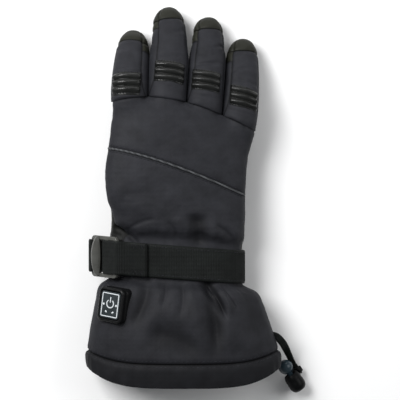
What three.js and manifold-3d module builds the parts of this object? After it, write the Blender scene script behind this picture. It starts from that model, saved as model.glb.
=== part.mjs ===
// Padded heated winter glove for the right hand, lying palm down with its thumb folded under the palm.
// Millimetres, +Z up, fingers along +Y, thumb side at -X. The origin is on the resting face,
// under the middle of the wrist strap.
import * as THREE from "three";
import { mergeVertices } from "three/addons/utils/BufferGeometryUtils.js";
import Module from "manifold-3d";

const wasm = await Module();
wasm.setup();

// Sizes of the padded shell
const wall = 4;
const gap = 0.4;
const handLength = 124;
const handWidth = 100;
const handHeight = 50;
const palmLift = 16;
const handTilt = 7;
const knuckleFall = 22;
const cuffLength = 93.75;
const cuffWidth = 146;
const cuffHeight = 52;
const hemWidth = 18;
const hemRise = 15;
const sideSeamHeight = 30;
const floorPress = 2.5;
const thumbWall = 3.4;

// Shape of the shell: how square its sections are over the back and below, how its end closes before
// the finger forks, how the line of the forks curves, how far the strap draws the cloth with it, and
// where the hand starts to lean and its palm to rise, as shares of its length
const backSquareness = 2.3;
const underSquareness = 3;
const closingStart = 0.86;
const closingRun = 0.16;
const closingPinch = 0.12;
const forkSkew = 0.22;
const forkCurve = 1.6;
const cinchSpread = 1.4;
const tiltRun = [0.12, 0.45];
const palmStart = 0.2;

// Sizes of the fingers and the thumb
const fingerHeight = 23;
const tipHeight = 20;
const tipLevel = 0.24;
const fingerSink = 17;
const fingerDroop = 1.35;
const forkHeight = 0.9;
const rootDrop = 7;
const thumbLength = 70;
const thumbWidth = 27;
const thumbHeight = 17.5;
const thumbLean = -22;
const thumbStart = { x: -0.34, y: 0.23, z: 0.5 };
const thumbSeam = 20;
const thumbSink = 3;
const thumbTipLevel = 0.44;
const thumbDroop = 0.32;
const thumbClearance = 1.8;
const thumbHollowFall = 5;
const thumbRidgeStart = 0.3;
const fingertipLeather = 10;

// Sizes of the wrist strap, its tail and its buckle
const strapWidth = 25;
const strapThick = 1.7;
const strapSlope = -0.075;
const strapCinch = 20;
const strapRide = 0.3;
const tailEnd = -0.23 * handWidth;
const tailHem = 13;
const tailStep = 1;
const tailEase = 3;
const tailDrop = 1.2;
const buckleWidth = 31;
const buckleLength = 26;
const buckleThick = 3.2;
const buckleRail = 2.6;
const buckleBar = 1.3;
const buckleEnd = 1;
const buckleSlot = 3.2;
const buckleLean = 42;
const buckleLip = 9.6;
const buckleCorner = 3;
const buckleMiddle = -2.5;
const lipLean = 58;
const lipInset = 1.4;
const lipMargin = 1;
const buckleCentre = { x: -0.53 * handWidth, z: 0.686 * handHeight };
const anchorWidth = 24.5;
const anchorFoot = [0.565, 0.535];

// Sizes of the switch, the piping and the knuckle ribs
const switchWidth = 22;
const switchLength = 26;
const switchHeight = 6.5;
const switchRound = 4;
const switchLean = 32;
const switchTurn = -8;
const switchSpot = { x: -0.3116, y: -0.336 };
const switchTaper = 1.6;
const switchDepth = 9.9;
const faceWidth = 17;
const faceLength = 20;
const faceThick = 1.2;
const faceRound = 2;
const faceTaper = 0.3;
const faceRise = 0.35;
const pipingRadius = 0.9;
const pipingRise = 0.315;
const ribPitch = 4.4;
const ribCount = 3;
const ribHeight = 2.3;
const ribValley = 1.2;
const ribMargin = 1;
const ribShoulders = [0.3, 0.75];
const patchReach = 0.135;
const patchSkewWidth = 0.36;

// Sizes of the drawcord lock and its webbing tab
const lockBall = 5.6;
const lockBarrel = 6.4;
const lockLength = 15.5;
const lockMouth = 5.6;
const lockStem = 2.2;
const lockBore = 2.6;
const lockBoreDepth = 10.5;
const lockStemLength = 12.1;
const lockTravel = 3.5;
const lockTurn = 33.2;
const lockDip = 9;
const lockFromHem = { x: 4.1, y: -1.65, z: -11.9 };
const lugRoll = 48;
const lugWall = 1.4;
const lugThick = 4.4;
const lugLength = 4.6;
const lugLift = 1.9;
const lugSink = 0.3;
const lugForward = 2.6;
const tabWidth = 5.6;
const tabThick = 1.6;
const tabShare = 0.689;
const tabHang = { x: 2.6, y: -4.2, z: -2.4 };
const tabBow = 0.6;

// Sections of the hand. along is a share of the hand's length from the wrist to the finger forks,
// left and right are shares of its width, lift is a share of the palm's lift over the thumb, floor is
// a share of the strap's room under the wrist, and over is a share of the hand's height.
const handSections = [
  { along: -0.02, left: 0.5, right: 0.5, lift: 0, floor: 1, over: 0.86 },
  { along: 0.135, left: 0.5, right: 0.5, lift: 0, floor: 1, over: 0.86 },
  { along: 0.19, left: 0.49, right: 0.518, lift: 0.2, floor: 0.5, over: 0.96 },
  { along: 0.28, left: 0.482, right: 0.518, lift: 0.55, floor: 0, over: 0.995 },
  { along: 0.4, left: 0.512, right: 0.518, lift: 0.96, floor: 0, over: 1.01 },
  { along: 0.55, left: 0.528, right: 0.527, lift: 1, floor: 0, over: 1 },
  { along: 0.7, left: 0.508, right: 0.54, lift: 1, floor: 0, over: 0.98 },
  { along: 0.85, left: 0.495, right: 0.567, lift: 0.97, floor: 0, over: 0.93 },
  { along: 1.02, left: 0.485, right: 0.585, lift: 0.95, floor: 0, over: 0.86 },
];

// The cuff is as wide and as high as the hand where the two meet
const waistSide = (handSections[0].left * handWidth) / cuffWidth;
const waistTop = (handSections[0].over * handHeight) / cuffHeight;

// Sections of the cuff. along is a share of the cuff's length from the wrist to the hem,
// left and right are shares of its width, floor is a share of the strap's room under the wrist, and
// over is a share of its height.
const cuffSections = [
  { along: -0.02, left: waistSide, right: waistSide, floor: 1, over: waistTop },
  { along: 0.155, left: waistSide, right: waistSide, floor: 1, over: waistTop },
  { along: 0.22, left: 0.392, right: 0.412, floor: 0.3, over: 0.93 },
  { along: 0.34, left: 0.416, right: 0.449, floor: 0, over: 1 },
  { along: 0.46, left: 0.43, right: 0.47, floor: 0, over: 1.02 },
  { along: 0.6, left: 0.445, right: 0.495, floor: 0, over: 1.02 },
  { along: 0.736, left: 0.456, right: 0.517, floor: 0, over: 1 },
  { along: 0.87, left: 0.464, right: 0.538, floor: 0, over: 0.985 },
  { along: 1.02, left: 0.462, right: 0.541, floor: 0, over: 0.96 },
];

// Folds of the back and the cuff. x0 to x1 are shares of the half width of the hand, y0 to y1 are
// shares of the hand's length ahead of the wrist or of the cuff's length behind it, and width and
// depth are shares of the wall.
const folds = [
  { x0: 0.45, y0: -0.16, x1: 0.6, y1: -0.7, width: 1.5, depth: 0.85 },
  { x0: 0.46, y0: -0.17, x1: 0.74, y1: -0.42, width: 0.75, depth: 0.75 },
  { x0: -0.42, y0: -0.18, x1: -0.62, y1: -0.48, width: 1.4, depth: 0.6 },
  { x0: -0.36, y0: -0.56, x1: 0.3, y1: -0.68, width: 2.2, depth: 0.6 },
  { x0: 0.3, y0: 0.28, x1: 0.34, y1: 0.1, width: 1.7, depth: 0.85 },
  { x0: -0.92, y0: 0.21, x1: -0.58, y1: 0.12, width: 0.9, depth: 0.6 },
  { x0: 1.0, y0: -0.18, x1: 1.26, y1: -0.56, width: 1.8, depth: 0.4 },
  { x0: 0.93, y0: 0.88, x1: 1.06, y1: 0.8, width: 0.7, depth: 0.5 },
];

// The fingers. across and width are shares of the hand's width, start and length are shares of its
// length, lean is in degrees, and bend is how far the tip swings aside as a share of the width.
const fingers = [
  { name: "index", across: -0.356, start: 0.976, length: 0.4306, width: 0.273, lean: -3.2, bend: 0.045 },
  { name: "middle", across: -0.0675, start: 0.988, length: 0.5645, width: 0.286, lean: -3, bend: -0.155 },
  { name: "ring", across: 0.21, start: 0.935, length: 0.5597, width: 0.272, lean: -4.3, bend: -0.09 },
  { name: "little", across: 0.48, start: 0.853, length: 0.5081, width: 0.268, lean: -3.4, bend: -0.06 },
];

// The ribbed patch of each finger: roll turns it round the finger and slant skews its ribs, both in
// degrees, and middle is where it lies as a share of the finger's length.
const patches = {
  index: { roll: 12, middle: 0.165, slant: 2 },
  middle: { roll: -5, middle: 0.242, slant: -5 },
  ring: { roll: 0, middle: 0.249, slant: -6 },
  little: { roll: -11, middle: 0.2365, slant: -13 },
};

// Width and height of a finger along its length, both as shares of its size at the fork
const fingerProfile = [
  { along: -0.4, width: 0.72, height: 0.85 },
  { along: 0, width: 0.965, height: 1 },
  { along: 0.2, width: 1, height: 1 },
  { along: 0.4, width: 0.985, height: 0.98 },
  { along: 0.6, width: 0.94, height: 0.95 },
  { along: 0.8, width: 0.87, height: 0.91 },
  { along: 1, width: 0.82, height: 0.88 },
];

// The outside of the lock's barrel, as shares of its radius and its length
const barrelProfile = [
  { radius: 0.72, along: 0 },
  { radius: 0.93, along: 0.13 },
  { radius: 1, along: 0.39 },
  { radius: 1, along: 0.74 },
  { radius: 0.86, along: 0.935 },
  { radius: 0.6, along: 1 },
];

const colours = {
  fabric: { color: 0x2b2c31, roughness: 0.86, metalness: 0 },
  leather: { color: 0x2a2b27, roughness: 0.6, metalness: 0 },
  webbing: { color: 0x1c1f1f, roughness: 0.9, metalness: 0 },
  plastic: { color: 0x1a1a1b, roughness: 0.4, metalness: 0 },
  piping: { color: 0x5b5e63, roughness: 0.7, metalness: 0 },
};

const radians = (degrees) => (degrees * Math.PI) / 180;
const power = (base, exponent) => Math.sign(base) * Math.abs(base) ** exponent;
const waistFloor = strapThick + gap;
const far = 4 * handLength;

function smoothstep(low, high, value) {
  const share = Math.min(1, Math.max(0, (value - low) / (high - low)));
  return share * share * (3 - 2 * share);
}

// A smooth value of one column of a table, between its rows.
function column(table, name, along) {
  const last = table.length - 1;
  let row = 0;
  while (row < last - 1 && along > table[row + 1].along) row += 1;
  const [low, high] = [table[row], table[row + 1]];
  const slope = (a, b) => (b[name] - a[name]) / (b.along - a.along);
  const shared = (a, b) => {
    if (a * b <= 0) return 0;
    return Math.sign(a) * Math.min(Math.abs(a + b) / 2, 3 * Math.abs(a), 3 * Math.abs(b));
  };
  const middle = slope(low, high);
  const before = row > 0 ? shared(slope(table[row - 1], low), middle) : middle;
  const after = row < last - 1 ? shared(middle, slope(high, table[row + 2])) : middle;
  const span = high.along - low.along;
  const t = Math.min(1, Math.max(0, (along - low.along) / span));
  return (
    (2 * t ** 3 - 3 * t ** 2 + 1) * low[name] +
    (t ** 3 - 2 * t ** 2 + t) * span * before +
    (3 * t ** 2 - 2 * t ** 3) * high[name] +
    (t ** 3 - t ** 2) * span * after
  );
}

// How deep the folds press in at a place on the back of the glove.
function foldDepth(x, y) {
  const ahead = y > 0 ? handLength : cuffLength;
  let depth = 0;
  for (const fold of folds) {
    const from = new THREE.Vector2((fold.x0 * handWidth) / 2, fold.y0 * ahead);
    const to = new THREE.Vector2((fold.x1 * handWidth) / 2, fold.y1 * ahead);
    const run = to.clone().sub(from);
    const place = new THREE.Vector2(x, y).sub(from);
    const share = place.dot(run) / run.lengthSq();
    const across = place.cross(run) / run.length();
    const ends = smoothstep(-0.15, 0.2, share) * (1 - smoothstep(0.7, 1.2, share));
    depth += fold.depth * wall * ends * Math.exp(-((across / (fold.width * wall)) ** 2));
  }
  return depth;
}

// Height over the surface that the thumb takes up under the palm, at a place.
function thumbRidge(x, y) {
  const along = new THREE.Vector2(-Math.sin(radians(thumbLean)), Math.cos(radians(thumbLean)));
  const start = new THREE.Vector2(thumbStart.x * handWidth, thumbStart.y * handLength);
  const place = new THREE.Vector2(x, y).sub(start);
  const share = place.dot(along) / thumbLength;
  const across = place.cross(along) / (thumbWidth / 2);
  if (share < thumbRidgeStart) return 0;
  return thumbHeight + thumbClearance - thumbHollowFall * across ** 2;
}

// A bare place on the hand and cuff: turn goes round from the right edge over the back, and along
// runs from 0 at the wrist to 1 at the finger forks and to -1 at the hem.
function bareBody(turn, along) {
  const angle = turn * 2 * Math.PI;
  const onHand = along >= 0;
  const table = onHand ? handSections : cuffSections;
  const width = onHand ? handWidth : cuffWidth;
  const row = Math.abs(along);
  const left = column(table, "left", row) * width;
  const right = column(table, "right", row) * width;
  const top = column(table, "over", row) * (onHand ? handHeight : cuffHeight);
  const lift = onHand ? column(table, "lift", row) : 0;
  const bottom = onHand
    ? waistFloor + lift * palmLift - (1 - lift) * floorPress
    : waistFloor * column(table, "floor", row) - floorPress;
  const closing = Math.max(0, (along - closingStart) / closingRun);
  const shrink = Math.sqrt(Math.max(0.04, 1 - closing ** 2));
  const exponent = 2 / (Math.sin(angle) >= 0 ? backSquareness : underSquareness);
  const side = power(Math.cos(angle), exponent);
  const rise = power(Math.sin(angle), exponent);
  const pinch = 1 - closingPinch * (1 - shrink);
  const x = (right - left) / 2 + (side * (right + left)) / 2 * pinch;
  const middle = (top + bottom) / 2;
  const tilted = Math.tan(radians(handTilt)) * x * smoothstep(...tiltRun, along);
  const z = middle + (rise * (top - bottom)) / 2 * shrink - tilted;
  const reach = onHand
    ? handLength - knuckleFall * forkCurve * (x / handWidth + forkSkew) ** 2
    : cuffLength - hemRise * row * side ** 4;
  const flat = along * reach;
  const y = flat + strapSlope * x * Math.exp(-((flat / strapCinch / cinchSpread) ** 2));
  return new THREE.Vector3(x, y, z);
}

// The direction that faces out of a surface, from its change along both of its shares.
function outward(surface, turn, along) {
  const step = 0.004;
  const round = surface(turn + step, along).sub(surface(turn - step, along));
  const ahead = surface(turn, along + step).sub(surface(turn, along - step));
  return ahead.cross(round).normalize();
}

// A place on the hand and cuff, lifted off the surface by so many millimetres. Only cloth folds.
function body(turn, along, lift, folded = true) {
  const place = bareBody(turn, along);
  const out = outward((a, b) => bareBody(a, b), turn, along);
  const above = smoothstep(0, 0.35, out.z);
  const depth = folded ? foldDepth(place.x, place.y) * above : 0;
  place.addScaledVector(out, lift - depth);
  const floor = lift < 0 ? -lift : 0;
  const facesDown = out.z < 0.3;
  if (along > palmStart && facesDown) place.z = Math.max(place.z, thumbRidge(place.x, place.y) + floor);
  const room = column(along >= 0 ? handSections : cuffSections, "floor", Math.abs(along));
  if (folded) place.z = Math.max(place.z, waistFloor * room + floor);
  return place;
}

// A place on a finger or the thumb. turn goes round from its right side over its back, and along is
// a share of its length from its seam, negative inside the hand.
function digit(d, turn, along, lift) {
  const angle = turn * 2 * Math.PI;
  const round = d.width / 2 / d.length;
  const cap = Math.max(0, (along - (1 - round)) / round);
  const shrink = Math.sqrt(Math.max(0, 1 - Math.min(1, cap) ** 2));
  const slim = Math.max(0.02, shrink);
  const wide = (d.width / 2) * column(fingerProfile, "width", along) * slim + lift;
  const tall = (d.height / 2) * column(fingerProfile, "height", along) * slim + lift;
  const ahead = along * d.length + (along > 0.9 ? lift * cap : 0);
  const centre = (share) => {
    const distance = share * d.length;
    const level = Math.max(0, Math.min(1, share));
    return new THREE.Vector3(
      d.x - Math.sin(radians(d.lean)) * distance + d.bend * d.width * level ** 4,
      d.y + Math.cos(radians(d.lean)) * distance,
      d.z + (d.tipZ - d.z) * level ** d.droop + Math.min(0, share) * d.rise,
    );
  };
  const forward = centre(ahead / d.length + 0.01).sub(centre(ahead / d.length - 0.01)).normalize();
  const across = forward.clone().cross(new THREE.Vector3(0, 0, 1)).normalize();
  const up = across.clone().cross(forward);
  const place = centre(ahead / d.length)
    .addScaledVector(across, wide * power(Math.cos(angle), 2 / backSquareness))
    .addScaledVector(up, tall * power(Math.sin(angle), 2 / backSquareness));
  place.z = Math.max(place.z, lift < 0 ? -lift : 0);
  return place;
}

// A closed mesh from rings of points: each ring joins the next, and both ends are closed.
function loft(rings) {
  const count = rings[0].length;
  const points = rings.flat();
  const faces = [];
  for (let row = 0; row < rings.length - 1; row += 1) {
    for (let i = 0; i < count; i += 1) {
      const next = (i + 1) % count;
      const [a, b] = [row * count + i, row * count + next];
      faces.push(a, b, b + count, a, b + count, a + count);
    }
  }
  for (const [row, flip] of [[0, true], [rings.length - 1, false]]) {
    const centre = rings[row].reduce((sum, p) => sum.add(p), new THREE.Vector3());
    points.push(centre.divideScalar(count));
    for (let i = 0; i < count; i += 1) {
      const [a, b] = [row * count + i, row * count + ((i + 1) % count)];
      faces.push(...(flip ? [b, a, points.length - 1] : [a, b, points.length - 1]));
    }
  }
  return solid(points, faces);
}

// A closed mesh from rings of points that join round in both directions, like a hoop.
function hoop(rings) {
  const count = rings[0].length;
  const faces = [];
  rings.forEach((ring, row) => {
    for (let i = 0; i < count; i += 1) {
      const next = (i + 1) % count;
      const above = ((row + 1) % rings.length) * count;
      const here = row * count;
      faces.push(here + i, here + next, above + next, here + i, above + next, above + i);
    }
  });
  return solid(rings.flat(), faces);
}

// A solid from points and faces, turned so that its faces look outwards.
function solid(points, faces) {
  const make = (triVerts) => {
    const vertProperties = new Float32Array(points.flatMap((p) => [p.x, p.y, p.z]));
    return new wasm.Manifold(new wasm.Mesh({ numProp: 3, vertProperties, triVerts }));
  };
  const made = make(new Uint32Array(faces));
  if (made.volume() > 0) return made;
  return make(new Uint32Array(faces).reverse());
}

// A solid from one of the library's closed geometries.
function solidOf(geometry) {
  const bare = geometry.index ? geometry.toNonIndexed() : geometry.clone();
  bare.deleteAttribute("normal");
  bare.deleteAttribute("uv");
  const merged = mergeVertices(bare, 1e-4);
  const mesh = new wasm.Mesh({
    numProp: 3,
    vertProperties: merged.attributes.position.array,
    triVerts: new Uint32Array(merged.index.array),
  });
  mesh.merge();
  return new wasm.Manifold(mesh);
}

// A named mesh with its material, from a solid.
function piece(name, finish, shape) {
  const { vertProperties, triVerts } = shape.getMesh();
  const geometry = new THREE.BufferGeometry();
  geometry.setAttribute("position", new THREE.BufferAttribute(vertProperties, 3));
  geometry.setIndex(new THREE.BufferAttribute(triVerts, 1));
  geometry.computeVertexNormals();
  const mesh = new THREE.Mesh(geometry, new THREE.MeshStandardMaterial(colours[finish]));
  mesh.name = name;
  return mesh;
}

const steps = (from, to, count) =>
  Array.from({ length: count + 1 }, (_, i) => from + ((to - from) * i) / count);
const around = (count, at) => Array.from({ length: count }, (_, i) => at(i / count));

// The turns at which the hand and cuff have points: closer together over the back than below
const bodyTurns = [...steps(0, 0.5, 20), ...steps(0.5, 1, 7).slice(1, -1)];

// Everything beyond a line on the plan, given as points in order of x: an upright slab whose near
// face follows the line.
function beyond(line) {
  const shape = new THREE.Shape([
    ...line.map(([x, y]) => new THREE.Vector2(x, y)),
    new THREE.Vector2(line.at(-1)[0], line.at(-1)[1] + far),
    new THREE.Vector2(line[0][0], line[0][1] + far),
  ]);
  const slab = new THREE.ExtrudeGeometry(shape, { depth: far, bevelEnabled: false });
  return solidOf(slab.translate(0, 0, -far / 2));
}

// The two lines that edge a seam of the given width, one each side of its middle.
const edgeOf = (line, shift) => line.map(([x, y]) => [x, y + shift]);
const seamSides = (line, width = gap) => ({
  before: beyond(edgeOf(line, -width / 2)),
  after: beyond(edgeOf(line, width / 2)),
});

// Where the panels of the shell meet, on the plan
const wristLine = [-2, -0.5, 0.5, 2].map((share) => [
  share * handWidth,
  share * handWidth * strapSlope,
]);
const knuckleLine = [
  [-2, 0.94],
  [-0.5, 0.965],
  [-0.36, 0.985],
  [-0.2, 1.0],
  [0.075, 0.968],
  [0.335, 0.893],
  [0.6, 0.79],
  [2, 0.6],
].map(([x, y]) => [x * handWidth, y * handLength]);
const pipingCurve = new THREE.QuadraticBezierCurve(
  new THREE.Vector2(-0.5025 * handWidth, 0.686 * handLength),
  new THREE.Vector2(-0.12 * handWidth, 0.641 * handLength),
  new THREE.Vector2(0.51 * handWidth, 0.405 * handLength),
);
const pipingPlan = pipingCurve.getPoints(12).map((p) => [p.x, p.y]);
const pipingLine = [
  [-2 * handWidth, pipingPlan[0][1]],
  ...pipingPlan,
  [2 * handWidth, pipingPlan.at(-1)[1]],
];

// The digits, from the tables
const tiltAt = (x) => -Math.tan(radians(handTilt)) * x;
const digits = fingers.map((f) => ({
  ...f,
  length: f.length * handLength,
  width: f.width * handWidth,
  x: f.across * handWidth,
  y: f.start * handLength,
  z: (handHeight * forkHeight + palmLift + waistFloor) / 2 + tiltAt(f.across * handWidth),
  height: fingerHeight,
  tipZ: tipHeight * tipLevel,
  droop: fingerDroop,
  rise: rootDrop,
  back: fingerSink,
  sides: 12,
}));
const thumb = {
  name: "thumb",
  x: thumbStart.x * handWidth,
  y: thumbStart.y * handLength,
  z: thumbStart.z * handHeight,
  length: thumbLength,
  lean: thumbLean,
  bend: 0,
  width: thumbWidth,
  height: thumbHeight,
  tipZ: thumbHeight * thumbTipLevel,
  droop: thumbDroop,
  rise: 0,
  back: thumbSink,
  sides: 12,
};

// A digit as a solid, at a lift from its surface
function digitSolid(d, lift, from, sides) {
  const cap = [0.6, 0.88, 0.99].map((share) => 1 - (d.width / 2 / d.length) * (1 - share));
  const stations = [...steps(from / -d.length, 1 - d.width / 2 / d.length, 6), ...cap];
  return loft(stations.map((along) => around(sides, (turn) => digit(d, turn, along, lift))));
}

// The whole hand with its digits, and the hollow inside it
const handStations = [-0.06, 0.135, 0.16, 0.21, 0.28, 0.37, 0.47, 0.59, 0.71, 0.82, 0.9, 0.96, 1.005];
const ring = (along, lift, folded = true) => bodyTurns.map((turn) => body(turn, along, lift, folded));
const handOuter = loft(handStations.map((along) => ring(along, 0)));
const hollowStations = [-0.1, 0.135, 0.22, 0.32, 0.5, 0.7, 0.82, 0.9];
const handHollow = loft(hollowStations.map((v) => around(16, (u) => body(u, v, -wall))));
const digitOuters = digits.map((d) => digitSolid(d, 0, d.back, d.sides));
const digitHollows = digits.map((d) => digitSolid(d, -wall, d.back, 8));
const thumbOuter = digitSolid(thumb, 0, thumb.back, thumb.sides);
const thumbHollow = digitSolid(thumb, -thumbWall, thumb.back, 8);
const hollow = [handHollow, ...digitHollows, thumbHollow].reduce((all, one) => all.add(one));

// The thumb's own seam: everything beyond a plane across the thumb
function beyondThumbSeam(shift) {
  const slab = new THREE.BoxGeometry(far, far, far).translate(0, far / 2, 0);
  slab.rotateZ(radians(thumbLean));
  const distance = thumbSeam + shift;
  slab.translate(
    thumb.x - Math.sin(radians(thumbLean)) * distance,
    thumb.y + Math.cos(radians(thumbLean)) * distance,
    0,
  );
  return solidOf(slab);
}

// Above or below the side seam, which leans as the hand does
function aboveSideSeam(shift) {
  const slab = new THREE.BoxGeometry(far, far, far).translate(0, 0, far / 2 + sideSeamHeight + shift);
  slab.rotateY(radians(handTilt));
  return solidOf(slab);
}

const wrist = seamSides(wristLine);
const knuckles = seamSides(knuckleLine);
const pipingSeam = seamSides(pipingLine);
const aboveSeam = aboveSideSeam(gap / 2);
const underSeam = aboveSideSeam(-gap / 2);

const handWithRoots = digitOuters
  .reduce((all, one) => all.add(one), handOuter)
  .add(thumbOuter.subtract(beyondThumbSeam(-gap / 2)));
const handShell = handWithRoots.subtract(hollow).intersect(wrist.after).subtract(knuckles.before);
const back = handShell.intersect(aboveSeam);
const palm = handShell.subtract(underSeam);

// The piping, a cord that lies half sunk in the seam across the back
function backPoint(x, y, lift) {
  let [turn, along] = [0.25, y / handLength];
  for (let round = 0; round < 24; round += 1) {
    const here = body(turn, along, lift);
    turn -= (x - here.x) / handWidth / 4;
    along += (y - here.y) / handLength;
    turn = Math.min(0.49, Math.max(0.01, turn));
  }
  return body(turn, along, lift);
}
function pipingRod(radius, extra) {
  const path = pipingCurve.getPoints(15).map((p) => backPoint(p.x, p.y, pipingRise));
  const beyondEnd = (end, next) => end.clone().add(end.clone().sub(next).setLength(extra));
  if (extra > 0) {
    path.unshift(beyondEnd(path[0], path[1]));
    path.push(beyondEnd(path.at(-1), path.at(-2)));
  }
  const rings = path.map((here, i) => {
    const forward = path[Math.min(i + 1, path.length - 1)].clone().sub(path[Math.max(i - 1, 0)]);
    const across = forward.clone().cross(new THREE.Vector3(0, 0, 1)).normalize();
    const up = across.clone().cross(forward).normalize();
    return around(6, (turn) =>
      here
        .clone()
        .addScaledVector(across, radius * Math.cos(turn * 2 * Math.PI))
        .addScaledVector(up, radius * Math.sin(turn * 2 * Math.PI)),
    );
  });
  return loft(rings);
}
const pipingGroove = pipingRod(pipingRadius + gap * 1.2, gap * 2);

// The ribbed patch over a knuckle, laid on the back of its finger. Each rib has a valley and two
// shoulders, and the patch ends in a flat margin.
function knucklePatch(d) {
  const patch = patches[d.name];
  const point = (offset, turn, lift) => {
    const sideways = ((turn - 0.25) / patchReach) * d.width * patchSkewWidth;
    const along = patch.middle + (offset - Math.tan(radians(patch.slant)) * sideways) / d.length;
    const rolled = turn + patch.roll / 360;
    const out = outward((a, b) => digit(d, a, b, 0), rolled, along);
    return digit(d, rolled, along, 0).addScaledVector(out, lift);
  };
  const half = (ribCount * ribPitch) / 2;
  const lines = [{ offset: -half - ribMargin, lift: ribValley }];
  for (let rib = 0; rib < ribCount; rib += 1) {
    const start = -half + rib * ribPitch;
    lines.push({ offset: start, lift: ribValley });
    for (const share of ribShoulders) lines.push({ offset: start + ribPitch * share, lift: ribHeight });
  }
  lines.push({ offset: half, lift: ribValley }, { offset: half + ribMargin, lift: ribValley });
  const turns = steps(0.25 + patchReach, 0.25 - patchReach, 5);
  const rings = lines.map(({ offset, lift }) => [
    ...turns.map((turn) => point(offset, turn, lift)),
    point(offset, turns.at(-1), -wall / 4),
    point(offset, turns[0], -wall / 4),
  ]);
  return loft(rings).subtract(digitSolid(d, gap, d.back, d.sides));
}

// Cuff and hem: hoops of cloth through the sections at the given shares of the cuff's length
const hemShare = 1 - hemWidth / cuffLength;
const seamShare = gap / cuffLength;
const cuffShares = [-0.05, 0.155, 0.19, 0.23, ...steps(0.3, hemShare - seamShare, 7)];
const hemShares = steps(hemShare + seamShare, 1, 4);
function clothHoop(shares) {
  const inner = shares.filter((share, i) => i % 2 === 0 || i === shares.length - 1);
  return hoop([
    ...shares.map((share) => ring(-share, 0)),
    ...inner.toReversed().map((share) => ring(-share, -wall)),
  ]);
}
const cuff = clothHoop(cuffShares).subtract(wrist.before);
const hem = clothHoop(hemShares);

// The wrist strap: a band round the waist of the glove
const waist = (turn, lift) => body(turn, 0, lift, false);
function strapHoop(low, high) {
  const edge = (shift, lift) =>
    bodyTurns.map((turn) => {
      const place = waist(turn, lift);
      place.y = strapSlope * place.x + shift;
      place.z = Math.max(place.z, waistFloor - lift);
      return place;
    });
  const shifts = [strapWidth / 2, strapWidth / 10, -strapWidth / 2];
  return hoop([...shifts.map((s) => edge(s, high)), ...shifts.toReversed().map((s) => edge(s, low))]);
}

// A flat band whose middle follows a line in an upright plane, with its width across that plane
function ribbon(path, thick, width) {
  const rings = path.map((here, i) => {
    const run = path[Math.min(i + 1, path.length - 1)].clone().sub(path[Math.max(i - 1, 0)]);
    const normal = new THREE.Vector2(-run.y, run.x).normalize();
    return [[1, 1], [1, -1], [-1, -1], [-1, 1]].map(([face, edge]) => {
      const at = here.clone().addScaledVector(normal, (face * thick) / 2);
      return new THREE.Vector3(at.x, strapSlope * at.x + (edge * width) / 2, at.y);
    });
  });
  return loft(rings);
}

// A point over the strap's back at a given x, in the upright plane
function overStrap(x, lift) {
  let turn = 0.35;
  for (let round = 0; round < 40; round += 1) {
    turn -= (x - waist(turn, lift).x) / handWidth / 5;
    turn = Math.min(0.5, Math.max(0.25, turn));
  }
  const place = waist(turn, lift);
  return new THREE.Vector2(place.x, place.z);
}

// The buckle's own directions in the upright plane: down its length and out of its face
const buckleDown = new THREE.Vector2(-Math.cos(radians(buckleLean)), -Math.sin(radians(buckleLean)));
const buckleOut = new THREE.Vector2(-Math.sin(radians(buckleLean)), Math.cos(radians(buckleLean)));
const onBuckle = (down, out) =>
  new THREE.Vector2(buckleCentre.x, buckleCentre.z)
    .addScaledVector(buckleDown, down)
    .addScaledVector(buckleOut, out);
const topBar = -buckleLength / 2 + buckleRail / 2;
const endBar = buckleLength / 2 - buckleEnd;
const lipBar = endBar - buckleEnd - buckleSlot - buckleRail / 2;

// The strap's tail: in under the top bar, round the middle bar and back over the top bar
const wrap = Math.hypot(buckleBar, buckleThick / 2) + gap + strapThick / 2;
const clearBar = buckleThick / 2 + gap + strapThick / 2;
const strapOver = waistFloor + gap + strapRide;
function tailSolid() {
  const rolled = steps(-90, 90, 8).map((degrees) => {
    const [down, out] = [Math.cos(radians(degrees)) * wrap, Math.sin(radians(degrees)) * wrap];
    return onBuckle(buckleMiddle + down, out);
  });
  const tailTop = strapOver + strapThick * 1.5 + gap / 2;
  const thin = new THREE.SplineCurve([
    overStrap(tailEnd - tailHem - tailStep, strapOver + strapThick / 2),
    onBuckle(topBar - tailEase, -clearBar - tailDrop),
    onBuckle(topBar + tailStep, -clearBar),
    ...rolled,
    onBuckle(topBar + tailStep, clearBar),
    onBuckle(topBar - tailEase, clearBar - tailDrop / 2),
    overStrap(tailEnd - tailHem - tailStep, strapOver + strapThick * 1.5 + gap + tailStep),
    overStrap(tailEnd - tailHem + tailEase, tailTop),
    overStrap(tailEnd - tailHem + 2 * tailEase, tailTop),
  ]).getPoints(34);
  const hemRun = steps(tailEnd - tailHem + 2 * tailStep, tailEnd, 4);
  const hemPath = hemRun.map((x) => overStrap(x, strapOver + strapThick));
  return ribbon(thin, strapThick, strapWidth).add(ribbon(hemPath, strapThick * 2, strapWidth));
}

// The anchor webbing: a loop round the buckle's end bar whose foot lies on the strap's side
function anchorSolid() {
  const radius = Math.hypot(buckleEnd, buckleThick / 2) + gap + strapThick / 2;
  const rolled = steps(-110, 110, 8).map((degrees) =>
    onBuckle(endBar + Math.cos(radians(degrees)) * radius, Math.sin(radians(degrees)) * radius),
  );
  const foot = anchorFoot.map((turn) => waist(turn, strapOver + strapThick / 2));
  const path = new THREE.SplineCurve([
    ...foot.map((place) => new THREE.Vector2(place.x, place.z)),
    onBuckle(endBar - tailDrop, -radius - gap),
    ...rolled,
  ]);
  return ribbon(path.getPoints(24), strapThick, anchorWidth);
}

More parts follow.
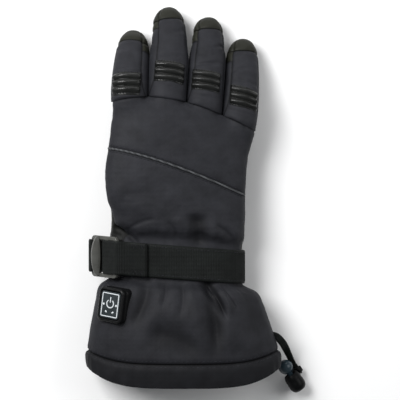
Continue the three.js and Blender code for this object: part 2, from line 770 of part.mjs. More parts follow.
// The buckle: a moulded frame with two bars and a curved lip at its outer end
function buckleSolid() {
  const frame = new THREE.Shape();
  const [halfLong, halfWide, corner] = [buckleLength / 2, buckleWidth / 2, buckleCorner];
  frame.moveTo(-halfLong + corner, -halfWide);
  frame.lineTo(halfLong - corner, -halfWide);
  frame.absarc(halfLong - corner, -halfWide + corner, corner, -Math.PI / 2, 0);
  frame.lineTo(halfLong, halfWide - corner);
  frame.absarc(halfLong - corner, halfWide - corner, corner, 0, Math.PI / 2);
  frame.lineTo(-halfLong + corner, halfWide);
  frame.absarc(-halfLong + corner, halfWide - corner, corner, Math.PI / 2, Math.PI);
  frame.lineTo(-halfLong, -halfWide + corner);
  frame.absarc(-halfLong + corner, -halfWide + corner, corner, Math.PI, Math.PI * 1.5);
  const sheet = { depth: buckleThick, bevelEnabled: false, curveSegments: 4 };
  const plate = new THREE.ExtrudeGeometry(frame, sheet);
  plate.translate(0, 0, -buckleThick / 2);
  const lip = new THREE.Shape();
  lip.moveTo(0, -halfWide + lipMargin);
  lip.quadraticCurveTo(buckleLip, 0, 0, halfWide - lipMargin);
  lip.quadraticCurveTo(-buckleRail, 0, 0, -halfWide + lipMargin);
  const blade = new THREE.ExtrudeGeometry(lip, { ...sheet, depth: buckleThick * 0.75, curveSegments: 8 });
  blade.rotateY(radians(-lipLean)).translate(lipBar - buckleRail / 2 + lipInset, 0, buckleThick / 4);
  const placed = new THREE.Matrix4().makeBasis(
    new THREE.Vector3(buckleDown.x, 0, buckleDown.y),
    new THREE.Vector3(0, -1, 0),
    new THREE.Vector3(buckleOut.x, 0, buckleOut.y),
  );
  placed.setPosition(buckleCentre.x, strapSlope * buckleCentre.x, buckleCentre.z);
  const opening = (low, high) => {
    const box = new THREE.BoxGeometry(high - low, buckleWidth - 2 * buckleRail + 2 * gap, 3 * buckleThick);
    return solidOf(box.translate((low + high) / 2, 0, 0).applyMatrix4(placed));
  };
  return solidOf(plate.applyMatrix4(placed))
    .subtract(opening(topBar + buckleRail / 2, buckleMiddle - buckleBar))
    .subtract(opening(buckleMiddle + buckleBar, lipBar - buckleRail / 2))
    .subtract(opening(lipBar + buckleRail / 2, endBar - buckleEnd))
    .add(solidOf(blade.applyMatrix4(placed)));
}

// A block with round corners, standing on z = 0
function roundedBlock(width, length, height, corner, taper) {
  const [x, y] = [width / 2 - corner, length / 2 - corner];
  const ring = (inset, z) =>
    [[x, y, 0], [-x, y, 90], [-x, -y, 180], [x, -y, 270]].flatMap(([cx, cy, start]) =>
      steps(start, start + 90, 3).map((degrees) => {
        const radius = corner - inset;
        return new THREE.Vector3(
          cx + Math.cos(radians(degrees)) * radius,
          cy + Math.sin(radians(degrees)) * radius,
          z,
        );
      }),
    );
  return [[0, 0], [0, height - taper], [taper * 0.35, height - taper * 0.3], [taper, height]].map(
    ([inset, z]) => ring(inset, z),
  );
}

// The switch on the cuff: a block that leans to the thumb side, with a face let into its top
function placedSwitch() {
  let [turn, along] = [0.35, switchSpot.y];
  for (let round = 0; round < 40; round += 1) {
    const here = body(turn, along, 0);
    turn -= (switchSpot.x - here.x / cuffWidth) / 5;
    along += (switchSpot.y - here.y / cuffLength) / 2;
  }
  const seat = body(turn, along, 0);
  const placed = new THREE.Matrix4().makeRotationY(radians(-switchLean));
  placed.multiply(new THREE.Matrix4().makeRotationZ(radians(switchTurn)));
  placed.setPosition(seat);
  return placed;
}
const switchPlace = placedSwitch();
const moved = (rings, matrix) => rings.map((ring) => ring.map((p) => p.clone().applyMatrix4(matrix)));
function switchSolids() {
  const height = switchHeight + switchDepth;
  const down = new THREE.Matrix4().makeTranslation(0, 0, -switchDepth);
  const sides = roundedBlock(switchWidth, switchLength, height, switchRound, switchTaper);
  const block = loft(moved(moved(sides, down), switchPlace));
  const cloth = loft(cuffShares.map((share) => ring(-share, gap)));
  const level = switchHeight - faceThick + faceRise;
  const top = new THREE.Matrix4().makeTranslation(0, 0, level);
  const raised = new THREE.Matrix4().makeTranslation(0, 0, level + gap);
  const [wide, long] = [faceWidth + 2 * gap, faceLength + 2 * gap];
  const pocket = roundedBlock(wide, long, faceThick * 3, faceRound + gap, faceTaper);
  const face = roundedBlock(faceWidth, faceLength, faceThick, faceRound, faceTaper);
  return {
    housing: block.subtract(cloth).subtract(loft(moved(moved(pocket, top), switchPlace))),
    face: loft(moved(moved(face, raised), switchPlace)),
  };
}

// The drawcord lock's own frame: +Z runs from the ball to the far end of the barrel
const lockPlace = new THREE.Matrix4();
const lockAxis = new THREE.Vector3(
  Math.sin(radians(lockTurn)) * Math.cos(radians(lockDip)),
  -Math.cos(radians(lockTurn)) * Math.cos(radians(lockDip)),
  -Math.sin(radians(lockDip)),
);
const lockSide = new THREE.Vector3(Math.cos(radians(lockTurn)), Math.sin(radians(lockTurn)), 0);
const lockUp = lockSide.clone().cross(lockAxis).negate();
lockPlace.makeBasis(lockSide, lockUp.clone().negate(), lockAxis);
if (lockPlace.determinant() < 0) lockPlace.makeBasis(lockSide, lockUp, lockAxis);
const lockSpot = body(0, -1, 0).add(new THREE.Vector3(lockFromHem.x, lockFromHem.y, lockFromHem.z));
lockPlace.setPosition(lockSpot);

// A round solid about +Z, from radius and height pairs that start and end on the axis
function turned(profile, sides) {
  const lathe = new THREE.LatheGeometry(profile.map(([r, z]) => new THREE.Vector2(r, z)), sides);
  return solidOf(lathe.rotateX(Math.PI / 2));
}

// The profile of a ball about the axis, centred at a height
function halfCircle(radius, height, count) {
  return steps(0, Math.PI, count).map((angle, i) => {
    const onAxis = i === 0 || i === count;
    return [onAxis ? 0 : Math.sin(angle) * radius, height - Math.cos(angle) * radius];
  });
}
const lugAngle = radians(lugRoll);
const lugOut = new THREE.Vector3()
  .addScaledVector(lockSide, Math.sin(lugAngle))
  .addScaledVector(new THREE.Vector3(0, 0, -1), Math.cos(lugAngle));
const lugReach = lockBarrel + lugLift;
const lugMiddle = lockMouth + lugForward;

// Boxes in the lug's frame: across, outwards from the lock's axis, and along it
function lugBox(across, outSize, along, outAt, alongAt) {
  const out = lugOut.clone().projectOnPlane(lockAxis).normalize();
  const side = out.clone().cross(lockAxis).normalize();
  const basis = new THREE.Matrix4().makeBasis(side, out, side.clone().cross(out));
  const sign = Math.sign(side.clone().cross(out).dot(lockAxis));
  const box = new THREE.BoxGeometry(across, outSize, along).translate(0, outAt, sign * alongAt);
  return solidOf(box.applyMatrix4(basis.setPosition(lockSpot)));
}
function lockSolids() {
  const shell = [
    [0, lockMouth],
    ...barrelProfile.map((row) => [lockBarrel * row.radius, lockMouth + lockLength * row.along]),
    [0, lockMouth + lockLength],
  ];
  const bore = [
    [0, lockMouth - lockBore],
    [lockBore, lockMouth - lockBore],
    [lockBore, lockMouth + lockBoreDepth],
    [0, lockMouth + lockBoreDepth],
  ];
  const dish = halfCircle(lockBall + gap, lockTravel, 8);
  const barrel = turned(shell, 16)
    .subtract(turned(bore, 12))
    .subtract(turned(dish, 16))
    .transform(lockPlace.elements);
  const lug = lugBox(tabWidth + 2 * lugWall, lugThick, lugLength, lugReach - lugSink, lugMiddle);
  const slot = lugBox(tabWidth + 2 * gap, tabThick + 2 * gap, 3 * lugLength, lugReach, lugMiddle);
  const ball = halfCircle(lockBall, 0, 8);
  const stem = [
    [0, 0],
    [lockStem, 0],
    [lockStem, lockStemLength],
    [0, lockStemLength],
  ];
  const plunger = turned(ball, 16).add(turned(stem, 12)).transform(lockPlace.elements);
  return { barrel: barrel.add(lug).subtract(slot), plunger };
}

// The webbing tab: from the hem's side seam down to the lug, and through its slot
function tabSolid() {
  const out = lugOut.clone().projectOnPlane(lockAxis).normalize();
  const inSlot = (along) =>
    lockSpot.clone().addScaledVector(out, lugReach).addScaledVector(lockAxis, along);
  const start = body(0, -tabShare, tabWidth / 2 + gap * 1.5);
  const curve = new THREE.CatmullRomCurve3([
    start,
    start.clone().add(new THREE.Vector3(tabHang.x, tabHang.y, tabHang.z)),
    start.clone().lerp(inSlot(-2 * tabBow), 0.62).add(new THREE.Vector3(tabBow, 0, -tabBow)),
    inSlot(tabBow),
    inSlot(lugMiddle - lugLength * 0.65),
    inSlot(lugMiddle + lugLength * 0.75),
  ]);
  const path = curve.getPoints(14);
  const level = new THREE.Vector3(Math.cos(radians(lockTurn)), Math.sin(radians(lockTurn)), 0.1);
  const atLug = lockAxis.clone().cross(out).normalize();
  if (atLug.dot(level) < 0) atLug.negate();
  const rings = path.map((here, i) => {
    const forward = path[Math.min(i + 1, path.length - 1)].clone();
    forward.sub(path[Math.max(i - 1, 0)]).normalize();
    const share = smoothstep(0.1, 0.75, i / (path.length - 1));
    const wide = level.clone().lerp(atLug, share).projectOnPlane(forward).normalize();
    const up = forward.clone().cross(wide).normalize();
    return [[1, 1], [-1, 1], [-1, -1], [1, -1]].map(([w, t]) =>
      here
        .clone()
        .addScaledVector(wide, (w * tabWidth) / 2)
        .addScaledVector(up, (t * tabThick) / 2),
    );
  });
  return loft(rings);
}

const glove = new THREE.Group();
glove.name = "glove";
glove.add(piece("back_upper", "fabric", back.intersect(pipingSeam.after).subtract(pipingGroove)));
glove.add(piece("back_lower", "fabric", back.subtract(pipingSeam.before).subtract(pipingGroove)));
glove.add(piece("palm", "leather", palm));
glove.add(piece("piping", "piping", pipingRod(pipingRadius, 0)));

digits.forEach((d, i) => {
  const tube = digitOuters[i].subtract(hollow).intersect(knuckles.after);
  const tipStart = d.y + Math.cos(radians(d.lean)) * (d.length - fingertipLeather - d.width / 10);
  const tipLine = [-d.width, d.width].map((side) => [
    d.x + side,
    tipStart + side * Math.tan(radians(d.lean)),
  ]);
  const tipSeam = seamSides(tipLine);
  glove.add(piece(`${d.name}_sleeve`, "fabric", tube.subtract(tipSeam.before)));
  glove.add(piece(`${d.name}_tip`, "leather", tube.intersect(tipSeam.after)));
  glove.add(piece(`${d.name}_knuckle`, "leather", knucklePatch(d)));
});
const thumbTube = thumbOuter
  .subtract(hollow)
  .intersect(beyondThumbSeam(gap / 2))
  .subtract(loft(handStations.map((along) => ring(along, gap))));
glove.add(piece("thumb_sleeve", "leather", thumbTube));

glove.add(piece("cuff", "fabric", cuff));
glove.add(piece("hem_band", "fabric", hem));
glove.add(piece("wrist_strap", "webbing", strapHoop(gap, waistFloor)));
glove.add(piece("strap_tail", "webbing", tailSolid()));
glove.add(piece("buckle", "plastic", buckleSolid()));
glove.add(piece("buckle_anchor", "webbing", anchorSolid()));

const { housing, face } = switchSolids();
glove.add(piece("switch_housing", "plastic", housing));
glove.add(piece("switch_face", "plastic", face));

const lock = lockSolids();
glove.add(piece("lock_barrel", "plastic", lock.barrel));
glove.add(piece("lock_plunger", "plastic", lock.plunger));
glove.add(piece("lock_tab", "webbing", tabSolid()));

export default glove;
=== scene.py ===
"""A padded heated winter glove for the right hand, lying palm down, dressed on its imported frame."""

import math

import bmesh
import bpy
import numpy as np
from mathutils import Matrix, Vector, noise


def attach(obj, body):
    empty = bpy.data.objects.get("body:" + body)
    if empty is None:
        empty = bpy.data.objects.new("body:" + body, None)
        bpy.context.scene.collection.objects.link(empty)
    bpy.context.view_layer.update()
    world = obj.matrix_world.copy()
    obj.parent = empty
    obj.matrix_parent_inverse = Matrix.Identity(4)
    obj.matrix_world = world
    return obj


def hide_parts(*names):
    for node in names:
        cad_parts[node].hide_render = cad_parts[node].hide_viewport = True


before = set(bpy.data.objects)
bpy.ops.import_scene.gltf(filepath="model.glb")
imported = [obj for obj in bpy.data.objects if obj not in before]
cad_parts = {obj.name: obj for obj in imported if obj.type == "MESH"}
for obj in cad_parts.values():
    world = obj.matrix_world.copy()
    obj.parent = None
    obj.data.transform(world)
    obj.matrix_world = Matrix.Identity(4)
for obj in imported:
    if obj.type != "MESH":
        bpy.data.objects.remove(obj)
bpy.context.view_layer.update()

bl_info = {
    "name": "Heated Glove",
    "version": (1, 0, 0),
    "blender": (4, 5, 0),
    "location": "View3D > Sidebar > Glove",
    "description": "Builds a padded heated glove with its strap, switch and drawcord lock",
    "category": "Add Mesh",
}

MM = 0.001

# Sizes of the padded shell, in metres
WALL = 4 * MM
HAND_LENGTH = 124 * MM
HAND_WIDTH = 100 * MM
HAND_HEIGHT = 50 * MM
PALM_LIFT = 16 * MM
HAND_TILT = math.radians(7)
KNUCKLE_FALL = 22 * MM
CUFF_LENGTH = 93.75 * MM
CUFF_WIDTH = 146 * MM
CUFF_HEIGHT = 52 * MM
HEM_WIDTH = 18 * MM
HEM_RISE = 15 * MM
SIDE_SEAM_HEIGHT = 30 * MM
FLOOR_PRESS = 2.5 * MM
HEM_SHARE = 1 - HEM_WIDTH / CUFF_LENGTH
SEAM_SLIT = 0.06 * MM

# Sizes of the fingers and the thumb
FINGER_HEIGHT = 23 * MM
TIP_HEIGHT = 20 * MM
FINGERTIP_LEATHER = 10 * MM
FINGER_ROOT = 17 * MM
FINGER_COLUMNS = 144
THUMB_LENGTH = 70 * MM
THUMB_WIDTH = 27 * MM
THUMB_HEIGHT = 17.5 * MM
THUMB_LEAN = math.radians(-22)
THUMB_SEAM = 20 * MM
THUMB_ROOT = 3 * MM
THUMB_WALL = WALL * 0.85

# Sizes of the strap, its tail and its buckle
STRAP_WIDTH = 25 * MM
STRAP_THICK = 1.7 * MM
STRAP_GAP = 0.4 * MM
STRAP_RIDE = 0.3 * MM
STRAP_SLOPE = -0.075
STRAP_CINCH = 20 * MM
WAIST_FLOOR = STRAP_THICK + STRAP_GAP
STRAP_OVER = WAIST_FLOOR + STRAP_GAP + STRAP_RIDE
STRAP_WEAVE = STRAP_THICK - 0.3 * MM
TAIL_END = -23 * MM
TAIL_HEM = 13 * MM
BUCKLE_WIDTH = 31 * MM
BUCKLE_LENGTH = 26 * MM
BUCKLE_THICK = 3.2 * MM
BUCKLE_RAIL = 2.6 * MM
BUCKLE_BAR = 1.3 * MM
BUCKLE_END = 1 * MM
BUCKLE_SLOT = 3.2 * MM
BUCKLE_LEAN = math.radians(42)
BUCKLE_CENTRE = (-53 * MM, 34.3 * MM)
BUCKLE_LIP = 6 * MM
TOP_BAR = -BUCKLE_LENGTH / 2 + BUCKLE_RAIL / 2
MIDDLE_BAR = -2.5 * MM
END_BAR = BUCKLE_LENGTH / 2 - BUCKLE_END
ANCHOR_WIDTH = 24.5 * MM

# Sizes of the switch, the piping and the drawcord lock
SWITCH_WIDTH = 22 * MM
SWITCH_LENGTH = 26 * MM
SWITCH_HEIGHT = 6.5 * MM
SWITCH_ROUND = 4 * MM
SWITCH_LEAN = math.radians(32)
SWITCH_TURN = math.radians(-8)
SWITCH_SPOT = (-45.5 * MM, -31.5 * MM)
FACE_WIDTH = 17 * MM
FACE_LENGTH = 20 * MM
PIPING_RADIUS = 0.9 * MM
RIB_PITCH = 4.4 * MM
RIB_COUNT = 3
RIB_HEIGHT = 2.3 * MM
RIB_MARGIN = 1 * MM
PATCH_REACH = 0.135
LOCK_BALL = 5.6 * MM
LOCK_BARREL = 6.4 * MM
LOCK_LENGTH = 15.5 * MM
LOCK_MOUTH = 5.6 * MM
LOCK_STEM = 2.2 * MM
LOCK_BORE = 2.6 * MM
LOCK_TRAVEL = 3.5 * MM
LOCK_TURN = math.radians(33.2)
LOCK_DIP = math.radians(9)
LOCK_SPOT = Vector((83.1, -80.4, 11.8)) * MM
LUG_ROLL = math.radians(48)
LUG_REACH = LOCK_BARREL + 1.9 * MM
LUG_ALONG = LOCK_MOUTH + 2.6 * MM
TAB_WIDTH = 5.6 * MM
TAB_THICK = 1.6 * MM
TAB_START = Vector((78, -57.5, 25)) * MM

# Sections of the hand and the cuff, as shares of their lengths, widths and heights
HAND_SECTIONS = [
    {"along": -0.02, "left": 0.5, "right": 0.5, "lift": 0, "floor": 1, "over": 0.86},
    {"along": 0.135, "left": 0.5, "right": 0.5, "lift": 0, "floor": 1, "over": 0.86},
    {"along": 0.19, "left": 0.49, "right": 0.518, "lift": 0.2, "floor": 0.5, "over": 0.96},
    {"along": 0.28, "left": 0.482, "right": 0.518, "lift": 0.55, "floor": 0, "over": 0.995},
    {"along": 0.4, "left": 0.512, "right": 0.518, "lift": 0.96, "floor": 0, "over": 1.01},
    {"along": 0.55, "left": 0.528, "right": 0.527, "lift": 1, "floor": 0, "over": 1},
    {"along": 0.7, "left": 0.508, "right": 0.54, "lift": 1, "floor": 0, "over": 0.98},
    {"along": 0.85, "left": 0.495, "right": 0.567, "lift": 0.97, "floor": 0, "over": 0.93},
    {"along": 1.02, "left": 0.485, "right": 0.585, "lift": 0.95, "floor": 0, "over": 0.86},
]
CUFF_SECTIONS = [
    {"along": -0.02, "left": 0.3425, "right": 0.3425, "floor": 1, "over": 0.827},
    {"along": 0.155, "left": 0.3425, "right": 0.3425, "floor": 1, "over": 0.827},
    {"along": 0.22, "left": 0.392, "right": 0.412, "floor": 0.3, "over": 0.93},
    {"along": 0.34, "left": 0.416, "right": 0.449, "floor": 0, "over": 1},
    {"along": 0.46, "left": 0.43, "right": 0.47, "floor": 0, "over": 1.02},
    {"along": 0.6, "left": 0.445, "right": 0.495, "floor": 0, "over": 1.02},
    {"along": 0.736, "left": 0.456, "right": 0.517, "floor": 0, "over": 1},
    {"along": 0.87, "left": 0.464, "right": 0.538, "floor": 0, "over": 0.985},
    {"along": 1.02, "left": 0.462, "right": 0.541, "floor": 0, "over": 0.96},
]

# Folds of the back and the cuff: shares of the half width and of the hand's or cuff's length, with
# width and depth as shares of the wall. The first eight are the deep ones.
FOLDS = [
    {"x0": 0.45, "y0": -0.16, "x1": 0.6, "y1": -0.7, "width": 1.5, "depth": 0.85},
    {"x0": 0.46, "y0": -0.17, "x1": 0.74, "y1": -0.42, "width": 0.75, "depth": 0.75},
    {"x0": -0.42, "y0": -0.18, "x1": -0.62, "y1": -0.48, "width": 1.4, "depth": 0.6},
    {"x0": -0.36, "y0": -0.56, "x1": 0.3, "y1": -0.68, "width": 2.2, "depth": 0.6},
    {"x0": 0.3, "y0": 0.28, "x1": 0.34, "y1": 0.1, "width": 1.7, "depth": 0.85},
    {"x0": -0.92, "y0": 0.21, "x1": -0.58, "y1": 0.12, "width": 0.9, "depth": 0.6},
    {"x0": 1.0, "y0": -0.18, "x1": 1.26, "y1": -0.56, "width": 1.8, "depth": 0.4},
    {"x0": 0.93, "y0": 0.88, "x1": 1.06, "y1": 0.8, "width": 0.7, "depth": 0.5},
    {"x0": -0.72, "y0": 0.2, "x1": -0.34, "y1": 0.26, "width": 0.8, "depth": 0.22},
    {"x0": 0.7, "y0": -0.2, "x1": 0.92, "y1": -0.36, "width": 0.6, "depth": 0.3},
    {"x0": 0.1, "y0": -0.18, "x1": 0.06, "y1": -0.42, "width": 0.7, "depth": 0.22},
    {"x0": -0.15, "y0": -0.18, "x1": -0.2, "y1": -0.34, "width": 0.6, "depth": 0.2},
    {"x0": 0.62, "y0": 0.22, "x1": 0.86, "y1": 0.14, "width": 0.6, "depth": 0.3},
    {"x0": -0.1, "y0": 0.24, "x1": 0.05, "y1": 0.12, "width": 0.6, "depth": 0.22},
    {"x0": -0.3, "y0": 0.7, "x1": 0.2, "y1": 0.78, "width": 1.6, "depth": 0.12},
    {"x0": -0.85, "y0": 0.42, "x1": -0.2, "y1": 0.36, "width": 1.8, "depth": 0.14},
]
FINGERS = [
    {"name": "index", "across": -0.356, "start": 0.976, "length": 53.4,
     "width": 27.3, "lean": -3.2, "bend": 0.045},
    {"name": "middle", "across": -0.0675, "start": 0.988, "length": 70,
     "width": 28.6, "lean": -3, "bend": -0.155},
    {"name": "ring", "across": 0.21, "start": 0.935, "length": 69.4,
     "width": 27.2, "lean": -4.3, "bend": -0.09},
    {"name": "little", "across": 0.48, "start": 0.853, "length": 63,
     "width": 26.8, "lean": -3.4, "bend": -0.06},
]
PATCHES = {
    "index": {"roll": 12, "middle": 0.165, "slant": 2},
    "middle": {"roll": -5, "middle": 0.242, "slant": -5},
    "ring": {"roll": 0, "middle": 0.249, "slant": -6},
    "little": {"roll": -11, "middle": 0.2365, "slant": -13},
}
# Seams along each finger, as turns round it, and how far its leather runs down one side from the tip
FINGER_SEAMS = {
    "index": {"right": 0.155, "left": 0.455, "leather_side": "right", "leather_run": 7},
    "middle": {"right": 0.06, "left": 0.352, "leather_side": "left", "leather_run": 6},
    "ring": {"right": 0.065, "left": 0.36, "leather_side": "left", "leather_run": 9},
    "little": {"right": 0.05, "left": 0.352, "leather_side": "left", "leather_run": 8},
    "thumb": {"right": 0.075, "left": 0.425, "leather_side": "left", "leather_run": 0},
}
# Creases of the finger cloth: where they lie along and round the finger, how they slant, and how far
# round they reach, with width and depth in millimetres
FINGER_FOLDS = [
    {"finger": "index", "along": 0.62, "turn": 0.3, "slant": 0.25,
     "reach": 0.11, "width": 1.5, "depth": 0.55},
    {"finger": "index", "along": 0.38, "turn": 0.24, "slant": -0.2,
     "reach": 0.14, "width": 1.1, "depth": 0.5},
    {"finger": "middle", "along": 0.415, "turn": 0.22, "slant": 0.1,
     "reach": 0.16, "width": 1.2, "depth": 0.5},
    {"finger": "middle", "along": 0.68, "turn": 0.16, "slant": -0.3,
     "reach": 0.09, "width": 1.4, "depth": 0.4},
    {"finger": "ring", "along": 0.43, "turn": 0.22, "slant": -0.18,
     "reach": 0.17, "width": 1.3, "depth": 0.8},
    {"finger": "ring", "along": 0.63, "turn": 0.14, "slant": -0.3,
     "reach": 0.09, "width": 1.3, "depth": 0.6},
    {"finger": "ring", "along": 0.53, "turn": 0.3, "slant": 0.3,
     "reach": 0.08, "width": 1.2, "depth": 0.4},
    {"finger": "little", "along": 0.56, "turn": 0.29, "slant": -0.25,
     "reach": 0.1, "width": 1.3, "depth": 0.6},
    {"finger": "little", "along": 0.42, "turn": 0.2, "slant": 0.2,
     "reach": 0.13, "width": 1.2, "depth": 0.5},
    {"finger": "little", "along": 0.07, "turn": 0.27, "slant": 0.2,
     "reach": 0.16, "width": 1.5, "depth": 0.6},
    {"finger": "ring", "along": 0.08, "turn": 0.25, "slant": 0.1,
     "reach": 0.16, "width": 1.6, "depth": 0.45},
    {"finger": "index", "along": 0.9, "turn": 0.2, "slant": 0.1,
     "reach": 0.1, "width": 1.2, "depth": 0.3},
]
FINGER_PROFILE = [
    {"along": -0.4, "width": 0.72, "height": 0.85},
    {"along": 0, "width": 0.965, "height": 1},
    {"along": 0.2, "width": 1, "height": 1},
    {"along": 0.4, "width": 0.985, "height": 0.98},
    {"along": 0.6, "width": 0.94, "height": 0.95},
    {"along": 0.8, "width": 0.87, "height": 0.91},
    {"along": 1, "width": 0.82, "height": 0.88},
]
KNUCKLE_LINE = [
    (-2, 0.94), (-0.5, 0.965), (-0.36, 0.985), (-0.2, 1.0),
    (0.075, 0.968), (0.335, 0.893), (0.6, 0.79), (2, 0.6),
]
PIPING_POINTS = [(-0.5025, 0.686), (-0.12, 0.641), (0.51, 0.405)]

# Where the photograph was taken from: the point at its middle, and the width it shows
VIEW_CENTRE = Vector((18, 46.5, 33)) * MM
VIEW_WIDTH = 300 * MM
CAMERA_DISTANCE = 1.6
SENSOR_WIDTH = 36.0


class GloveSizes(bpy.types.PropertyGroup):
    """Sizes of the sewn details."""

    cloth_step: bpy.props.FloatProperty(
        name="Cloth detail", description="Spacing of the points on the padded back",
        default=1.05 * MM, min=0.5 * MM, unit="LENGTH")
    seam_depth: bpy.props.FloatProperty(
        name="Seam depth", description="How far a seam pulls the padding in",
        default=1.3 * MM, min=0, unit="LENGTH")
    seam_width: bpy.props.FloatProperty(
        name="Seam width", description="How far from a seam the padding is pulled in",
        default=2.6 * MM, min=0.2 * MM, unit="LENGTH")
    crumple: bpy.props.FloatProperty(
        name="Crumple", description="Height of the small wrinkles of the shell cloth",
        default=0.42 * MM, min=0, unit="LENGTH")
    stitch_pitch: bpy.props.FloatProperty(
        name="Stitch pitch", description="Distance from one stitch to the next",
        default=3.0 * MM, min=0.5 * MM, unit="LENGTH")
    stitch_radius: bpy.props.FloatProperty(
        name="Thread radius", description="Radius of the sewing thread",
        default=0.22 * MM, min=0.05 * MM, unit="LENGTH")
    webbing_rib: bpy.props.FloatProperty(
        name="Webbing rib", description="Distance from one woven rib of the webbing to the next",
        default=1.25 * MM, min=0.3 * MM, unit="LENGTH")


class GloveColours(bpy.types.PropertyGroup):
    """Colours of the materials."""

    fabric: bpy.props.FloatVectorProperty(
        name="Shell cloth", description="Colour of the shell cloth",
        subtype="COLOR", size=3, default=(0.0175, 0.0180, 0.0215), min=0, max=1)
    leather: bpy.props.FloatVectorProperty(
        name="Leather", description="Colour of the leather parts",
        subtype="COLOR", size=3, default=(0.0150, 0.0158, 0.0148), min=0, max=1)
    webbing: bpy.props.FloatVectorProperty(
        name="Webbing", description="Colour of the straps",
        subtype="COLOR", size=3, default=(0.0052, 0.0063, 0.0059), min=0, max=1)
    plastic: bpy.props.FloatVectorProperty(
        name="Plastic", description="Colour of the moulded parts",
        subtype="COLOR", size=3, default=(0.0065, 0.0068, 0.0072), min=0, max=1)
    piping: bpy.props.FloatVectorProperty(
        name="Piping", description="Colour of the piping",
        subtype="COLOR", size=3, default=(0.060, 0.062, 0.066), min=0, max=1)
    marks: bpy.props.FloatVectorProperty(
        name="Marks", description="Colour of the marks on the switch",
        subtype="COLOR", size=3, default=(0.62, 0.66, 0.68), min=0, max=1)


# The shape of the glove, worked out as the frame's own solids are

def smoothstep(low, high, value):
    """0 below low, 1 above high, and smooth between."""
    share = np.clip((value - low) / (high - low), 0, 1)
    return share * share * (3 - 2 * share)


def power(base, exponent):
    """A signed power, for rounded sections."""
    return np.sign(base) * np.abs(base) ** exponent


def column(table, name, along):
    """Smooth values of one column of a table, between its rows."""
    xs = np.array([row["along"] for row in table], float)
    ys = np.array([row[name] for row in table], float)
    slopes = np.diff(ys) / np.diff(xs)
    before, after = slopes[:-1], slopes[1:]
    limit = np.minimum(np.abs(before + after) / 2, 3 * np.minimum(np.abs(before), np.abs(after)))
    shared = np.where(before * after > 0, np.sign(before) * limit, 0)
    knots = np.concatenate([slopes[:1], shared, slopes[-1:]])
    along = np.clip(along, xs[0], xs[-1])
    i = np.clip(np.searchsorted(xs, along, side="right") - 1, 0, len(xs) - 2)
    span = xs[i + 1] - xs[i]
    t = (along - xs[i]) / span
    return (
        (2 * t**3 - 3 * t**2 + 1) * ys[i]
        + (t**3 - 2 * t**2 + t) * span * knots[i]
        + (3 * t**2 - 2 * t**3) * ys[i + 1]
        + (t**3 - t**2) * span * knots[i + 1]
    )


def fold_depth(x, y, spread=1.0):
    """How deep the folds press in at places on the back, with a soft ridge on each side of them."""
    depth = np.zeros(np.broadcast(x, y).shape)
    ahead = np.where(y > 0, HAND_LENGTH, CUFF_LENGTH)
    for fold in FOLDS:
        x0, x1 = fold["x0"] * HAND_WIDTH / 2, fold["x1"] * HAND_WIDTH / 2
        y0, y1 = fold["y0"] * ahead, fold["y1"] * ahead
        run_x, run_y = x1 - x0, y1 - y0
        length = np.hypot(run_x, run_y)
        share = ((x - x0) * run_x + (y - y0) * run_y) / length**2
        bow = 0.05 * length * np.sin(np.pi * share)
        across = ((x - x0) * run_y - (y - y0) * run_x) / length + bow
        ends = smoothstep(-0.15, 0.2, share) * (1 - smoothstep(0.7, 1.2, share))
        width = fold["width"] * WALL * spread
        valley = np.exp(-((across / width) ** 2))
        ridge = np.exp(-(((np.abs(across) - 1.9 * width) / (0.9 * width)) ** 2))
        crisp = 1.0 if spread == 1 else min(1.0, 0.9 / fold["width"]) ** 2
        depth += fold["depth"] * WALL * crisp * ends * (valley - 0.28 * ridge)
    return depth


def fold_shade(x, y):
    """How dark the valleys of the folds are, from the light that they keep out."""
    return np.clip(0.85 * fold_depth(x, y) / WALL, 0, 0.6)


def thumb_ridge(x, y):
    """Height that the folded thumb takes up under the palm."""
    start_x, start_y = -0.34 * HAND_WIDTH, 0.23 * HAND_LENGTH
    along_x, along_y = -math.sin(THUMB_LEAN), math.cos(THUMB_LEAN)
    share = ((x - start_x) * along_x + (y - start_y) * along_y) / THUMB_LENGTH
    across = ((x - start_x) * along_y - (y - start_y) * along_x) / (THUMB_WIDTH / 2)
    height = THUMB_HEIGHT + 1.8 * MM - 5 * MM * across**2
    return np.where(share < 0.3, 0, height)


